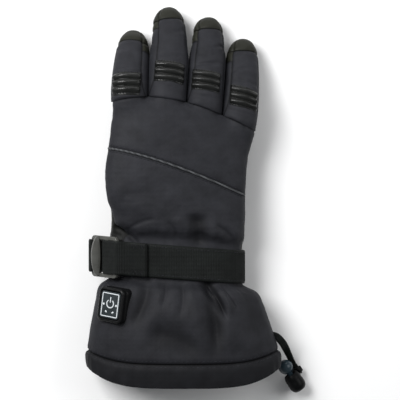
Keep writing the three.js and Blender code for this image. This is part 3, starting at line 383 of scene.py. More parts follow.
def bare_body(turn, along):
    """Places on the hand and cuff before folds: turn goes round, along runs to the fingers."""
    turn, along = np.broadcast_arrays(np.asarray(turn, float), np.asarray(along, float))
    angle = turn * 2 * np.pi
    on_hand = along >= 0
    row = np.abs(along)

    def pick(hand_name, hand_size, cuff_name, cuff_size):
        hand = column(HAND_SECTIONS, hand_name, row) * hand_size
        return np.where(on_hand, hand, column(CUFF_SECTIONS, cuff_name, row) * cuff_size)

    left = pick("left", HAND_WIDTH, "left", CUFF_WIDTH)
    right = pick("right", HAND_WIDTH, "right", CUFF_WIDTH)
    top = pick("over", HAND_HEIGHT, "over", CUFF_HEIGHT)
    raised = column(HAND_SECTIONS, "lift", row)
    under_hand = WAIST_FLOOR + raised * PALM_LIFT - (1 - raised) * FLOOR_PRESS
    under_cuff = WAIST_FLOOR * column(CUFF_SECTIONS, "floor", row) - FLOOR_PRESS
    bottom = np.where(on_hand, under_hand, under_cuff)
    closing = np.maximum(0, (along - 0.86) / 0.16)
    shrink = np.sqrt(np.maximum(0.04, 1 - closing**2))
    exponent = np.where(np.sin(angle) >= 0, 2 / 2.3, 2 / 3)
    side = power(np.cos(angle), exponent)
    rise = power(np.sin(angle), exponent)
    x = (right - left) / 2 + side * (right + left) / 2 * (0.88 + 0.12 * shrink)
    tilted = math.tan(HAND_TILT) * x * smoothstep(0.12, 0.45, along)
    z = (top + bottom) / 2 + rise * (top - bottom) / 2 * shrink - tilted
    hand_reach = HAND_LENGTH - KNUCKLE_FALL * (x / HAND_WIDTH + 0.22) ** 2 * 1.6
    reach = np.where(on_hand, hand_reach, CUFF_LENGTH - HEM_RISE * row * side**4)
    flat = along * reach
    y = flat + STRAP_SLOPE * x * np.exp(-((flat / STRAP_CINCH / 1.4) ** 2))
    return np.stack([x, y, z], axis=-1)


def outward(surface, turn, along, step=0.004):
    """Directions that face out of a surface."""
    round_ = surface(turn + step, along) - surface(turn - step, along)
    ahead = surface(turn, along + step) - surface(turn, along - step)
    out = np.cross(ahead, round_)
    return out / np.maximum(np.linalg.norm(out, axis=-1, keepdims=True), 1e-12)


def strap_room(along):
    """Height that the strap takes up under the wrist and the cuff."""
    hand = column(HAND_SECTIONS, "floor", np.abs(along))
    return WAIST_FLOOR * np.where(along >= 0, hand, column(CUFF_SECTIONS, "floor", np.abs(along)))


def body(turn, along, lift=0.0, folded=True, extra=0.0):
    """Places on the hand and cuff, lifted off the surface. extra is a further lift in each place."""
    turn, along = np.broadcast_arrays(np.asarray(turn, float), np.asarray(along, float))
    place = bare_body(turn, along)
    out = outward(bare_body, turn, along)
    above = smoothstep(0, 0.35, out[..., 2])
    depth = fold_depth(place[..., 0], place[..., 1]) * above * bool(folded)
    place = place + out * (lift + extra - depth)[..., None]
    floor = max(0.0, -lift)
    ridge = thumb_ridge(place[..., 0], place[..., 1]) + floor
    dented = (along > 0.2) & (out[..., 2] < 0.3)
    place[..., 2] = np.where(dented, np.maximum(place[..., 2], ridge), place[..., 2])
    if folded:
        place[..., 2] = np.maximum(place[..., 2], strap_room(along) + floor)
    return place


def make_digit(row, **other):
    """A finger's sizes in metres, from its row of the table."""
    x = row["across"] * HAND_WIDTH
    made = {
        "name": row["name"],
        "x": x,
        "y": row["start"] * HAND_LENGTH,
        "z": (HAND_HEIGHT * 0.9 + PALM_LIFT + WAIST_FLOOR) / 2 - math.tan(HAND_TILT) * x,
        "length": row["length"] * MM,
        "width": row["width"] * MM,
        "lean": math.radians(row["lean"]),
        "bend": row["bend"],
        "height": FINGER_HEIGHT,
        "tip": TIP_HEIGHT * 0.24,
        "droop": 1.35,
        "rise": 7 * MM,
    }
    made.update(other)
    return made


DIGITS = [make_digit(row) for row in FINGERS]
THUMB = make_digit(
    {"name": "thumb", "across": -0.34, "start": 0.23, "length": THUMB_LENGTH / MM,
     "width": THUMB_WIDTH / MM, "lean": math.degrees(THUMB_LEAN), "bend": 0},
    z=25 * MM, height=THUMB_HEIGHT, tip=THUMB_HEIGHT * 0.44, droop=0.32, rise=0.0)


def digit(d, turn, along, lift=0.0):
    """Places on a finger or the thumb. along is a share of its length from its root."""
    turn, along, lift = np.broadcast_arrays(
        np.asarray(turn, float), np.asarray(along, float), np.asarray(lift, float))
    angle = turn * 2 * np.pi
    round_share = d["width"] / 2 / d["length"]
    cap = np.maximum(0, (along - (1 - round_share)) / round_share)
    slim = np.maximum(0.02, np.sqrt(np.maximum(0, 1 - np.minimum(1, cap) ** 2)))
    wide = d["width"] / 2 * column(FINGER_PROFILE, "width", along) * slim + lift
    tall = d["height"] / 2 * column(FINGER_PROFILE, "height", along) * slim + lift
    ahead = along * d["length"] + np.where(along > 0.9, lift * cap, 0)

    def centre(share):
        distance = share * d["length"]
        level = np.clip(share, 0, 1)
        return np.stack([
            d["x"] - math.sin(d["lean"]) * distance + d["bend"] * d["width"] * level**4,
            d["y"] + math.cos(d["lean"]) * distance,
            d["z"] + (d["tip"] - d["z"]) * level ** d["droop"] + np.minimum(0, share) * d["rise"],
        ], axis=-1)

    share = ahead / d["length"]
    forward = centre(share + 0.01) - centre(share - 0.01)
    forward /= np.linalg.norm(forward, axis=-1, keepdims=True)
    across = np.cross(forward, [0, 0, 1])
    across /= np.linalg.norm(across, axis=-1, keepdims=True)
    up = np.cross(across, forward)
    place = centre(share)
    place = place + across * (wide * power(np.cos(angle), 2 / 2.3))[..., None]
    place = place + up * (tall * power(np.sin(angle), 2 / 2.3))[..., None]
    place[..., 2] = np.maximum(place[..., 2], np.maximum(0, -lift))
    return place


def knuckle_y(x):
    """Where the finger seam runs: its y on the plan for each x."""
    xs, ys = np.array(KNUCKLE_LINE).T
    return np.interp(x, xs * HAND_WIDTH, ys * HAND_LENGTH)


def piping_plan(count=60):
    """Points of the diagonal seam on the plan."""
    (x0, y0), (x1, y1), (x2, y2) = PIPING_POINTS
    t = np.linspace(0, 1, count)
    x = (1 - t) ** 2 * x0 + 2 * t * (1 - t) * x1 + t**2 * x2
    y = (1 - t) ** 2 * y0 + 2 * t * (1 - t) * y1 + t**2 * y2
    return np.stack([x * HAND_WIDTH, y * HAND_LENGTH], axis=-1)


# Small tools for meshes

def new_object(name, verts, faces, material=None):
    """A mesh object from points and faces, smooth shaded."""
    mesh = bpy.data.meshes.new(name)
    mesh.from_pydata([tuple(v) for v in verts], [], [tuple(f) for f in faces])
    mesh.update()
    obj = placed(name, mesh)
    smooth(obj)
    if material:
        mesh.materials.append(material)
    return obj


def smooth(obj):
    """Shades every face of the object smooth."""
    obj.data.polygons.foreach_set("use_smooth", [True] * len(obj.data.polygons))


def dress(obj, material):
    """Gives the object one material, and smooth shading."""
    obj.data.materials.clear()
    obj.data.materials.append(material)
    smooth(obj)


def placed(name, data):
    """An object of that name for a mesh, a curve, a lamp or a camera, in the scene."""
    obj = bpy.data.objects.new(name, data)
    bpy.context.scene.collection.objects.link(obj)
    return obj


def fix_normals(obj):
    """Merges doubles and turns every face outwards."""
    work = bmesh.new()
    work.from_mesh(obj.data)
    bmesh.ops.remove_doubles(work, verts=work.verts, dist=1e-6)
    bmesh.ops.recalc_face_normals(work, faces=work.faces)
    work.to_mesh(obj.data)
    work.free()
    return obj


def quads(rows, columns, start=0, wrap=True):
    """Faces of a grid whose rows follow one another, wrapped round in its columns."""
    r, c = np.meshgrid(np.arange(rows - 1), np.arange(columns if wrap else columns - 1), indexing="ij")
    after = (c + 1) % columns
    here, ahead = r * columns, (r + 1) * columns
    grid = np.stack([here + c, here + after, ahead + after, ahead + c], -1)
    return (grid.reshape(-1, 4) + start).tolist()


def tube(name, rings, material=None, ends="capped"):
    """A solid through rings of points. ends is capped, or joined where the last ring meets the first."""
    rings = np.asarray(rings)
    rows, columns = rings.shape[:2]
    verts = rings.reshape(-1, 3)
    faces = quads(rows, columns)
    if ends == "joined":
        last = (rows - 1) * columns
        for c in range(columns):
            n = (c + 1) % columns
            faces.append((last + c, last + n, n, c))
    else:
        faces.append(tuple(range(columns)))
        faces.append(tuple(range((rows - 1) * columns, rows * columns)))
    return fix_normals(new_object(name, verts, faces, material))


def read_points(obj):
    """The object's points as an array."""
    co = np.empty(len(obj.data.vertices) * 3)
    obj.data.vertices.foreach_get("co", co)
    return co.reshape(-1, 3)


def write_points(obj, points):
    """Puts an array of points back into the object."""
    obj.data.vertices.foreach_set("co", np.asarray(points, np.float32).ravel())
    obj.data.update()


def point_normals(obj):
    """The direction out of the surface at each point."""
    out = np.empty(len(obj.data.vertices) * 3)
    obj.data.vertex_normals.foreach_get("vector", out)
    return out.reshape(-1, 3)


def wrinkle(points, scale, stretch=(1, 1, 1), seed=0.0):
    """Soft noise from -1 to 1 at each point, stretched along the axes."""
    moved = points / (scale * np.asarray(stretch)) + seed
    flat = moved.reshape(-1, 3)
    made = np.array([noise.noise(Vector(p)) for p in flat])
    return made.reshape(points.shape[:-1])


def baked(obj):
    """The object with its modifiers turned into a plain mesh."""
    graph = bpy.context.evaluated_depsgraph_get()
    mesh = bpy.data.meshes.new_from_object(obj.evaluated_get(graph))
    old = obj.data
    obj.modifiers.clear()
    obj.data = mesh
    bpy.data.meshes.remove(old)
    return obj


def cut(obj, tool, operation):
    """Cuts obj by a closed tool and keeps the result as a plain mesh."""
    step = obj.modifiers.new("cut", "BOOLEAN")
    step.operation = operation
    step.solver = "MANIFOLD"
    step.object = tool
    baked(obj)


def remeshed(parts, name, size):
    """One closed surface over several solids, made of cells of that size."""
    whole = joined(parts, name)
    remesh = whole.modifiers.new("skin", "REMESH")
    remesh.mode = "VOXEL"
    remesh.voxel_size = size
    return baked(whole)


def copy_of(obj, name):
    """A separate copy of an object and its mesh."""
    return placed(name, obj.data.copy())


def drop(*objs):
    """Removes helper objects and their meshes."""
    for obj in objs:
        mesh = obj.data
        bpy.data.objects.remove(obj)
        bpy.data.meshes.remove(mesh)


def joined(objs, name):
    """One object made of several, whose points stay where they are."""
    work = bmesh.new()
    for obj in objs:
        work.from_mesh(obj.data)
    mesh = bpy.data.meshes.new(name)
    work.to_mesh(mesh)
    work.free()
    made = placed(name, mesh)
    drop(*objs)
    return made


def prism(name, outline, low=-0.05, high=0.12):
    """An upright slab over an outline on the plan."""
    count = len(outline)
    verts = [(x, y, low) for x, y in outline] + [(x, y, high) for x, y in outline]
    faces = [tuple(range(count)), tuple(range(count, 2 * count))]
    faces += [(i, (i + 1) % count, count + (i + 1) % count, count + i) for i in range(count)]
    return fix_normals(new_object(name, verts, faces))


def place_piece(obj, body_name, node=None):
    """Hands a finished piece to the frame: what it rides on, and the frame part that it stands for."""
    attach(obj, body_name)
    if node:
        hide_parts(node)
    return obj


# Materials

def shader_of(name):
    """A new material, its node tree, its main shader and a place to add nodes."""
    material = bpy.data.materials.new(name)
    material.use_nodes = True
    tree = material.node_tree
    return material, tree, tree.nodes["Principled BSDF"]


def add_node(tree, kind, **values):
    """A node with the named inputs or settings."""
    node = tree.nodes.new(kind)
    for key, value in values.items():
        if hasattr(node, key):
            setattr(node, key, value)
        else:
            node.inputs[key.replace("_", " ")].default_value = value
    return node


def spread_over(tree, *textures):
    """Lays textures out by the object's own coordinates."""
    place = add_node(tree, "ShaderNodeTexCoord")
    for node in textures:
        tree.links.new(place.outputs["Object"], node.inputs["Vector"])


def uneven_roughness(tree, shader, noise_node, low, high):
    """A roughness that runs from low to high with a noise."""
    rough = add_node(tree, "ShaderNodeMapRange", From_Min=0.3, From_Max=0.7, To_Min=low, To_Max=high)
    tree.links.new(noise_node.outputs["Fac"], rough.inputs["Value"])
    tree.links.new(rough.outputs["Result"], shader.inputs["Roughness"])


def set_inputs(shader, **values):
    """Sets the named inputs of a shader."""
    for key, value in values.items():
        shader.inputs[key.replace("_", " ")].default_value = value


def bump_of(tree, height, strength, distance, below=None):
    """A bump from a height, on top of another one if it is given."""
    bump = add_node(tree, "ShaderNodeBump", Strength=strength, Distance=distance)
    tree.links.new(height, bump.inputs["Height"])
    if below:
        tree.links.new(below, bump.inputs["Normal"])
    return bump.outputs["Normal"]


def tinted(tree, fac, colour, low, high):
    """A colour that runs from low to high times itself along a value."""
    ramp = add_node(tree, "ShaderNodeValToRGB")
    ramp.color_ramp.elements[0].position = 0.3
    ramp.color_ramp.elements[1].position = 0.7
    ramp.color_ramp.elements[0].color = [c * low for c in colour] + [1]
    ramp.color_ramp.elements[1].color = [c * high for c in colour] + [1]
    tree.links.new(fac, ramp.inputs["Fac"])
    return ramp.outputs["Color"]


def with_painted_seam_shade(tree, colour_out, colour):
    """Paints shade into a colour along the seam gaps and in the fold valleys, from the piece's own seam
    attribute.
    """
    seam = add_node(tree, "ShaderNodeAttribute", attribute_name="seam")
    mix = add_node(tree, "ShaderNodeMix", data_type="RGBA")
    # painted shade: the colour in the seam gaps and fold valleys, at 0.14 of the material's own
    mix.inputs[7].default_value = [c * 0.14 for c in colour] + [1]
    tree.links.new(seam.outputs["Fac"], mix.inputs[0])
    tree.links.new(colour_out, mix.inputs[6])
    return mix.outputs[2]


def woven_cloth(name, colour):
    """Plain woven shell cloth: a fine weave, slubs, soft crumpling and a slight sheen."""
    material, tree, shader = shader_of(name)
    scale = 1 / (0.55 * MM) / 20
    warp = add_node(tree, "ShaderNodeTexWave", Scale=scale, Distortion=1.2, Detail_Scale=3.0)
    weft = add_node(tree, "ShaderNodeTexWave", Scale=scale, Distortion=1.2, Detail_Scale=3.0)
    warp.bands_direction = "X"
    weft.bands_direction = "Y"
    mottle = add_node(tree, "ShaderNodeTexNoise", Scale=85.0, Detail=6.0, Roughness=0.62)
    crumple = add_node(tree, "ShaderNodeTexNoise", Scale=260.0, Detail=4.0, Roughness=0.6)
    spread_over(tree, warp, weft, mottle, crumple)
    weave = add_node(tree, "ShaderNodeMath", operation="MAXIMUM")
    tree.links.new(warp.outputs["Fac"], weave.inputs[0])
    tree.links.new(weft.outputs["Fac"], weave.inputs[1])
    varied = tinted(tree, mottle.outputs["Fac"], colour, 0.78, 1.25)
    tree.links.new(with_painted_seam_shade(tree, varied, colour), shader.inputs["Base Color"])
    below = bump_of(tree, crumple.outputs["Fac"], 0.32, 0.35 * MM)
    tree.links.new(bump_of(tree, weave.outputs[0], 0.35, 0.1 * MM, below), shader.inputs["Normal"])
    set_inputs(shader, Roughness=0.64, Specular_IOR_Level=0.14, Sheen_Weight=0.02,
               Sheen_Roughness=0.4, Sheen_Tint=(0.75, 0.82, 1.0, 1.0))
    return material


def grained_leather(name, colour, roughness=0.55, gloss=0.16):
    """Soft synthetic leather: a pebbled grain, fine creases and a low gloss."""
    material, tree, shader = shader_of(name)
    grain = add_node(tree, "ShaderNodeTexVoronoi", Scale=1500.0)
    grain.feature = "DISTANCE_TO_EDGE"
    crease = add_node(tree, "ShaderNodeTexNoise", Scale=320.0, Detail=5.0, Roughness=0.65)
    mottle = add_node(tree, "ShaderNodeTexNoise", Scale=90.0, Detail=4.0, Roughness=0.55)
    spread_over(tree, grain, crease, mottle)
    varied = tinted(tree, mottle.outputs["Fac"], colour, 0.72, 1.35)
    tree.links.new(with_painted_seam_shade(tree, varied, colour), shader.inputs["Base Color"])
    below = bump_of(tree, crease.outputs["Fac"], 0.35, 0.3 * MM)
    pebbled = bump_of(tree, grain.outputs["Distance"], 0.3, 0.12 * MM, below)
    tree.links.new(pebbled, shader.inputs["Normal"])
    uneven_roughness(tree, shader, mottle, roughness - 0.08, roughness + 0.1)
    set_inputs(shader, Specular_IOR_Level=gloss)
    return material


def ribbed_webbing(name, colour):
    """Woven polyester webbing: the ribs are in the mesh, and the yarns are in the bump."""
    material, tree, shader = shader_of(name)
    yarn = add_node(tree, "ShaderNodeTexWave", Scale=95.0, Distortion=2.0, Detail_Scale=4.0)
    yarn.bands_direction = "Y"
    fuzz = add_node(tree, "ShaderNodeTexNoise", Scale=900.0, Detail=5.0, Roughness=0.7)
    mottle = add_node(tree, "ShaderNodeTexNoise", Scale=120.0, Detail=4.0, Roughness=0.6)
    spread_over(tree, yarn, fuzz, mottle)
    tree.links.new(tinted(tree, mottle.outputs["Fac"], colour, 0.7, 1.4), shader.inputs["Base Color"])
    below = bump_of(tree, fuzz.outputs["Fac"], 0.4, 0.12 * MM)
    tree.links.new(bump_of(tree, yarn.outputs["Fac"], 0.35, 0.15 * MM, below), shader.inputs["Normal"])
    set_inputs(shader, Roughness=0.6, Specular_IOR_Level=0.12, Sheen_Weight=0.02, Sheen_Roughness=0.5)
    return material


def moulded_plastic(name, colour, roughness=0.38, texture=0.25, gloss=0.14):
    """Moulded plastic: a fine spark-eroded texture and slightly uneven gloss."""
    material, tree, shader = shader_of(name)
    spark = add_node(tree, "ShaderNodeTexNoise", Scale=3200.0, Detail=3.0, Roughness=0.6)
    wear = add_node(tree, "ShaderNodeTexNoise", Scale=180.0, Detail=5.0, Roughness=0.6)
    spread_over(tree, spark, wear)
    tree.links.new(tinted(tree, wear.outputs["Fac"], colour, 0.85, 1.2), shader.inputs["Base Color"])
    tree.links.new(bump_of(tree, spark.outputs["Fac"], texture, 0.05 * MM), shader.inputs["Normal"])
    uneven_roughness(tree, shader, wear, roughness - 0.06, roughness + 0.08)
    set_inputs(shader, Specular_IOR_Level=gloss)
    return material


def twisted_thread(name, colour):
    """Bonded sewing thread with a tight twist."""
    material, tree, shader = shader_of(name)
    twist = add_node(tree, "ShaderNodeTexWave", Scale=160.0, Distortion=1.0)
    twist.bands_direction = "DIAGONAL"
    spread_over(tree, twist)
    tree.links.new(tinted(tree, twist.outputs["Fac"], colour, 0.7, 1.3), shader.inputs["Base Color"])
    tree.links.new(bump_of(tree, twist.outputs["Fac"], 0.4, 0.06 * MM), shader.inputs["Normal"])
    set_inputs(shader, Roughness=0.6, Specular_IOR_Level=0.12)
    return material


def printed_marks(name, colour):
    """Slightly raised light print on the switch."""
    material, tree, shader = shader_of(name)
    speck = add_node(tree, "ShaderNodeTexNoise", Scale=900.0, Detail=4.0)
    spread_over(tree, speck)
    tree.links.new(tinted(tree, speck.outputs["Fac"], colour, 0.9, 1.05), shader.inputs["Base Color"])
    set_inputs(shader, Roughness=0.4)
    return material


def material_named(name):
    """The glove's material of that name, made the first time it is asked for."""
    if name in bpy.data.materials:
        return bpy.data.materials[name]
    colours = bpy.context.scene.glove_colours
    fabric, leather, plastic = (np.array(c) for c in (colours.fabric, colours.leather, colours.plastic))
    recipes = {
        "shell_cloth": (woven_cloth, fabric),
        # painted shade: the cuff's cloth is the shell cloth darkened, for the lower light that reaches
        # the cuff
        "cuff_cloth": (woven_cloth, fabric * 0.86),
        # painted shade: the hem's cloth is the shell cloth darkened, for the hem facing down away from
        # the light
        "hem_cloth": (woven_cloth, fabric * 0.42),
        # partly painted shade: the palm leather is darkened partly for the darker tone along its visible
        # edge and partly as painted crease shade
        "palm_hide": (grained_leather, leather * 0.6),
        "fingertip_hide": (grained_leather, leather * (0.95, 0.93, 0.7)),
        "knuckle_hide": (grained_leather, leather * 0.55, 0.3, 0.3),
        "strap_webbing": (ribbed_webbing, colours.webbing),
        # partly painted highlight: a grey moulding, lightened further for the light that the buckle's
        # curved lip catches
        "buckle_moulding": (moulded_plastic, (0.068, 0.069, 0.063), 0.32, 0.2, 0.4),
        "switch_moulding": (moulded_plastic, plastic * 0.8, 0.34, 0.3, 0.16),
        "switch_face_plastic": (moulded_plastic, (0.022, 0.028, 0.031), 0.4, 0.15),
        "lock_moulding": (moulded_plastic, plastic * 0.6, 0.36, 0.25, 0.08),
        "plunger_moulding": (moulded_plastic, (0.026, 0.041, 0.052), 0.2, 0.08, 0.3),
        "piping_cord": (twisted_thread, colours.piping),
        "sewing_thread": (twisted_thread, fabric * 1.15),
        "switch_marks": (printed_marks, colours.marks),
    }
    make, *looks = recipes[name]
    return make(name, *looks)


# The padded back and palm

def hand_solid(step):
    """The hand with its finger and thumb roots as one closed surface, before its seams."""
    turns = np.arange(150) / 150
    alongs = np.concatenate([np.linspace(-0.06, 0.9, 110), np.linspace(0.905, 1.005, 22)])
    parts = [tube("hand", body(turns[None, :], alongs[:, None]))]
    turns = np.arange(64) / 64
    for d in DIGITS:
        alongs = np.linspace(-FINGER_ROOT / d["length"], 0.2, 30)
        parts.append(tube(d["name"], digit(d, turns[None, :], alongs[:, None])))
    reach = (-THUMB_ROOT, THUMB_SEAM - 0.1 * MM)
    alongs = np.linspace(reach[0] / THUMB["length"], reach[1] / THUMB["length"], 24)
    parts.append(tube("thumb", digit(THUMB, turns[None, :], alongs[:, None])))
    return remeshed(parts, "hand_whole", step)


def relaxed(obj, weight, rounds):
    """Evens out the surface where the weight is above zero."""
    points = read_points(obj)
    edges = np.empty(len(obj.data.edges) * 2, int)
    obj.data.edges.foreach_get("vertices", edges)
    a, b = edges.reshape(-1, 2).T
    count = len(points)
    links = np.bincount(a, minlength=count) + np.bincount(b, minlength=count)
    for _ in range(rounds):
        mean = np.stack([
            np.bincount(a, points[b, k], count) + np.bincount(b, points[a, k], count) for k in range(3)
        ], axis=-1) / links[:, None]
        points += (mean - points) * weight[:, None]
    write_points(obj, points)


def distance_to_plan(points, line):
    """Distance on the plan from points to a line of points."""
    best = np.full(len(points), 1.0)
    for start, end in zip(line[:-1], line[1:]):
        run = end - start
        share = np.clip(((points[:, :2] - start) @ run) / (run @ run), 0, 1)
        near = start + share[:, None] * run
        best = np.minimum(best, np.hypot(*(points[:, :2] - near).T))
    return best


def pinch(distance, width, depth):
    """How far a seam pulls the padding in at a distance from it."""
    broad = np.exp(-((distance / width) ** 2))
    sharp = np.exp(-np.abs(distance) / (0.25 * width))
    return depth * (0.6 * broad + 0.4 * sharp)


def crumpled(points, size):
    """Small wrinkles of shell cloth over padding, tighter close to the wrist."""
    near_wrist = np.exp(-((points[:, 1] - 16 * MM) / (16 * MM)) ** 2)
    broad = wrinkle(points, 26 * MM, (1.6, 1, 1.2))
    middle = wrinkle(points, 10 * MM, (1.9, 0.8, 1.2), 7.3)
    fine = wrinkle(points, 4.2 * MM, (1.5, 0.8, 1), 3.1)
    pulled = wrinkle(points, 6 * MM, (0.7, 3.2, 1.2), 11.7)
    return size * (1.5 * broad + 0.8 * middle + 0.35 * fine + 0.9 * near_wrist * pulled)


def to_side_seam(points):
    """How far points are above the seam round the side of the hand."""
    x, _, z = points.T
    return (z - SIDE_SEAM_HEIGHT + np.tan(HAND_TILT) * x) * math.cos(HAND_TILT)


def by_middle_finger(x):
    """1 at the root of the middle finger, where its seam lies flat, and less on each side."""
    return np.exp(-(((x + 6 * MM) / (15 * MM)) ** 2))


def finish_hand_surface(obj, sizes):
    """Blends the finger roots, then adds the seams and the wrinkles."""
    points = read_points(obj)
    to_knuckles = knuckle_y(points[:, 0]) - points[:, 1]
    near_roots = smoothstep(1.5 * MM, 5 * MM, to_knuckles)
    near_roots *= 1 - smoothstep(24 * MM, 34 * MM, to_knuckles)
    relaxed(obj, np.full(len(points), 0.5), 3)
    relaxed(obj, near_roots * 0.6, 60)
    points = read_points(obj)
    normals = point_normals(obj)
    x, y = points[:, 0], points[:, 1]
    above = smoothstep(0.0, 0.3, normals[:, 2])
    inward = pinch(to_side_seam(points), sizes.seam_width, sizes.seam_depth * 0.9)
    inward += pinch(distance_to_plan(points, piping_plan()), sizes.seam_width, sizes.seam_depth) * above
    shallow = 1 - 0.8 * by_middle_finger(x)
    inward += pinch(knuckle_y(x) - y, sizes.seam_width * 0.9, sizes.seam_depth * 0.8) * shallow
    inward += 0.45 * fold_depth(x, y, 0.4) * above
    lift = crumpled(points, sizes.crumple) - inward
    points = points + normals * lift[:, None]
    floor = strap_room(np.maximum(0, y) / HAND_LENGTH) + 0.02 * MM
    points[:, 2] = np.maximum(points[:, 2], floor)
    write_points(obj, points)


def hand_seam_shade(points):
    """How dark the painted shade is at each point of the hand, in its seam gaps and fold valleys."""
    x, y, z = points.T
    shallow = 1 - 0.9 * by_middle_finger(x)
    knuckles = 0.5 * shallow * np.exp(-(((knuckle_y(x) - y) / (0.7 * MM)) ** 2))
    sides = np.exp(-((to_side_seam(points) / (0.7 * MM)) ** 2))
    on_top = z > SIDE_SEAM_HEIGHT
    diagonal = np.exp(-((distance_to_plan(points, piping_plan()) / (1.2 * MM)) ** 2)) * on_top
    return np.maximum.reduce([knuckles, sides, diagonal, fold_shade(x, y) * on_top])


def store_painted_shade(obj, dark):
    """Keeps how much painted shade each point gets in the seam gaps and fold valleys, for the material.
    """
    seam = obj.data.attributes.new("seam", "FLOAT", "POINT")
    seam.data.foreach_set("value", np.asarray(dark, np.float32).ravel())


def hand_hollow():
    """The room inside the hand and its finger roots, as one closed surface."""
    turns = np.arange(56) / 56
    parts = [tube("room", body(turns[None, :], np.linspace(-0.1, 0.9, 40)[:, None], -WALL))]
    for d in DIGITS:
        alongs = np.linspace(-FINGER_ROOT / d["length"], 0.3, 14)
        parts.append(tube("finger_room", digit(d, turns[None, ::2], alongs[:, None], -WALL)))
    alongs = np.linspace(-THUMB_ROOT / THUMB["length"], 0.45, 14)
    parts.append(tube("thumb_room", digit(THUMB, turns[None, ::2], alongs[:, None], -THUMB_WALL)))
    return remeshed(parts, "room_whole", 2.2 * MM)


def plan_line(points, shift):
    """A line on the plan, moved along y."""
    return [(x, y + shift) for x, y in points]


def hand_panels(sizes):
    """The two panels of the back, and the palm."""
    whole = hand_solid(sizes.cloth_step)
    finish_hand_surface(whole, sizes)
    room = hand_hollow()
    cut(whole, room, "DIFFERENCE")
    slit = SEAM_SLIT
    reach = 2 * HAND_WIDTH
    wrist = [(-reach, -reach * STRAP_SLOPE), (reach, reach * STRAP_SLOPE)]
    knuckles = [(a * HAND_WIDTH, b * HAND_LENGTH) for a, b in KNUCKLE_LINE]
    between = prism("between", plan_line(wrist, slit) + plan_line(knuckles, -slit)[::-1])
    cut(whole, between, "INTERSECT")
    far_side = 4 * HAND_WIDTH
    corners = [(x * far_side, y * far_side) for x, y in ((-1, -1), (1, -1), (1, 1), (-1, 1))]
    over = prism("over", corners, SIDE_SEAM_HEIGHT + slit, 3 * HAND_WIDTH)
    under = prism("under", corners, -3 * HAND_WIDTH, SIDE_SEAM_HEIGHT - slit)
    lean = Matrix.Rotation(HAND_TILT, 4, "Y")
    over.data.transform(lean)
    under.data.transform(lean)
    palm = copy_of(whole, "palm_panel")
    cut(palm, under, "INTERSECT")
    cut(whole, over, "INTERSECT")
    seam = [tuple(p) for p in piping_plan()]
    seam = [(-reach, seam[0][1] + 2 * MM)] + seam + [(reach, seam[-1][1] - 10 * MM)]
    far = prism("far", plan_line(seam, slit) + [(reach, far_side), (-reach, far_side)])
    near = prism("near", plan_line(seam, -slit)[::-1] + [(-reach, -far_side), (reach, -far_side)])
    front = copy_of(whole, "back_upper_panel")
    rear = copy_of(whole, "back_lower_panel")
    cut(front, far, "INTERSECT")
    cut(rear, near, "INTERSECT")
    drop(whole, room, between, over, under, far, near)
    for obj, node, name, slot in (
        (front, "back_upper", "shell_cloth", "shell_fabric"),
        (rear, "back_lower", "shell_cloth", "shell_fabric"),
        (palm, "palm", "palm_hide", "palm_leather"),
    ):
        dress(obj, material_named(name))
        store_painted_shade(obj, hand_seam_shade(read_points(obj)))
        place_piece(obj, "glove", node)


# The fingers

def tip_line(d):
    """Where the leather tip of a finger starts, as a share of its length."""
    return 1 - (FINGERTIP_LEATHER + d["width"] * 0.1) / d["length"]


def leather_end(d):
    """Where the leather on one side of a finger starts, as a share of its length."""
    return tip_line(d) - FINGER_SEAMS[d["name"]]["leather_run"] * MM / d["length"]


def finger_seams(d, turns, alongs, place):
    """Distance to each seam of a finger, with how deep it is and how dark its painted shade is."""
    seams = FINGER_SEAMS[d["name"]]
    around = math.pi * (d["width"] + d["height"]) / 2
    flare = np.exp(-np.maximum(alongs, 0) / 0.11) * (d["name"] != "thumb")
    right = seams["right"] * (1 - 0.8 * flare)
    left = seams["left"] + (0.48 - seams["left"]) * 0.85 * flare
    turns = (turns + 0.25) % 1 - 0.25
    found = [
        ((turns - right) * around, 0.85 - 0.6 * flare, 1.0),
        ((turns - left) * around, 0.85 - 0.6 * flare, 1.0),
        ((alongs - tip_line(d)) * d["length"], 0.75, 0.9),
    ]
    if d["name"] != "thumb":
        shallow = 0.18 if d["name"] == "middle" else 0.85
        on_back = np.clip(np.sin(turns * 2 * np.pi) * 1.5, 0, 1)
        past_knuckles = place[..., 1] - knuckle_y(place[..., 0])
        found.append((past_knuckles, 0.8 * shallow * on_back, 0.55 * shallow))
        on_side = turns < right if seams["leather_side"] == "right" else turns > left
        away = np.where(on_side, (alongs - leather_end(d)) * d["length"], 1.0)
        found.append((away, 0.6, 0.9))
    return found


def leather_side(d, turns, alongs):
    """Whether places on a finger are leather: all of its underside, and one side near the tip."""
    seams = FINGER_SEAMS[d["name"]]
    turns = (turns + 0.25) % 1 - 0.25
    under = (turns > 0.57) | (turns < -0.07)
    past = alongs > leather_end(d)
    side = turns < seams["right"] if seams["leather_side"] == "right" else turns > seams["left"]
    return under | (past & side)


def pressed_out(d, turns, place):
    """How far a padded finger swells against the fingers beside it, where they lie close."""
    swell = np.zeros(place.shape[:-1])
    alongs = np.linspace(-0.1, 1, 120)
    names = [other["name"] for other in DIGITS]
    if d["name"] not in names:
        return swell
    own = names.index(d["name"])
    for other, turn in ((own + 1, 0.0), (own - 1, 0.5)):
        if 0 <= other < len(DIGITS):
            mine = digit(d, turn, alongs)
            theirs = digit(DIGITS[other], 0.5 - turn, alongs)
            beside = np.interp(mine[:, 1], theirs[:, 1], theirs[:, 0])
            room = np.abs(beside - mine[:, 0])
            reach = (0.5 * room + 0.12 * MM) * (1 - smoothstep(1.3 * MM, 3.2 * MM, room))
            facing = np.clip(np.cos((turns - turn) * 2 * np.pi), 0, 1) ** 3
            swell += facing * np.interp(place[..., 1], mine[:, 1], reach)
    return swell


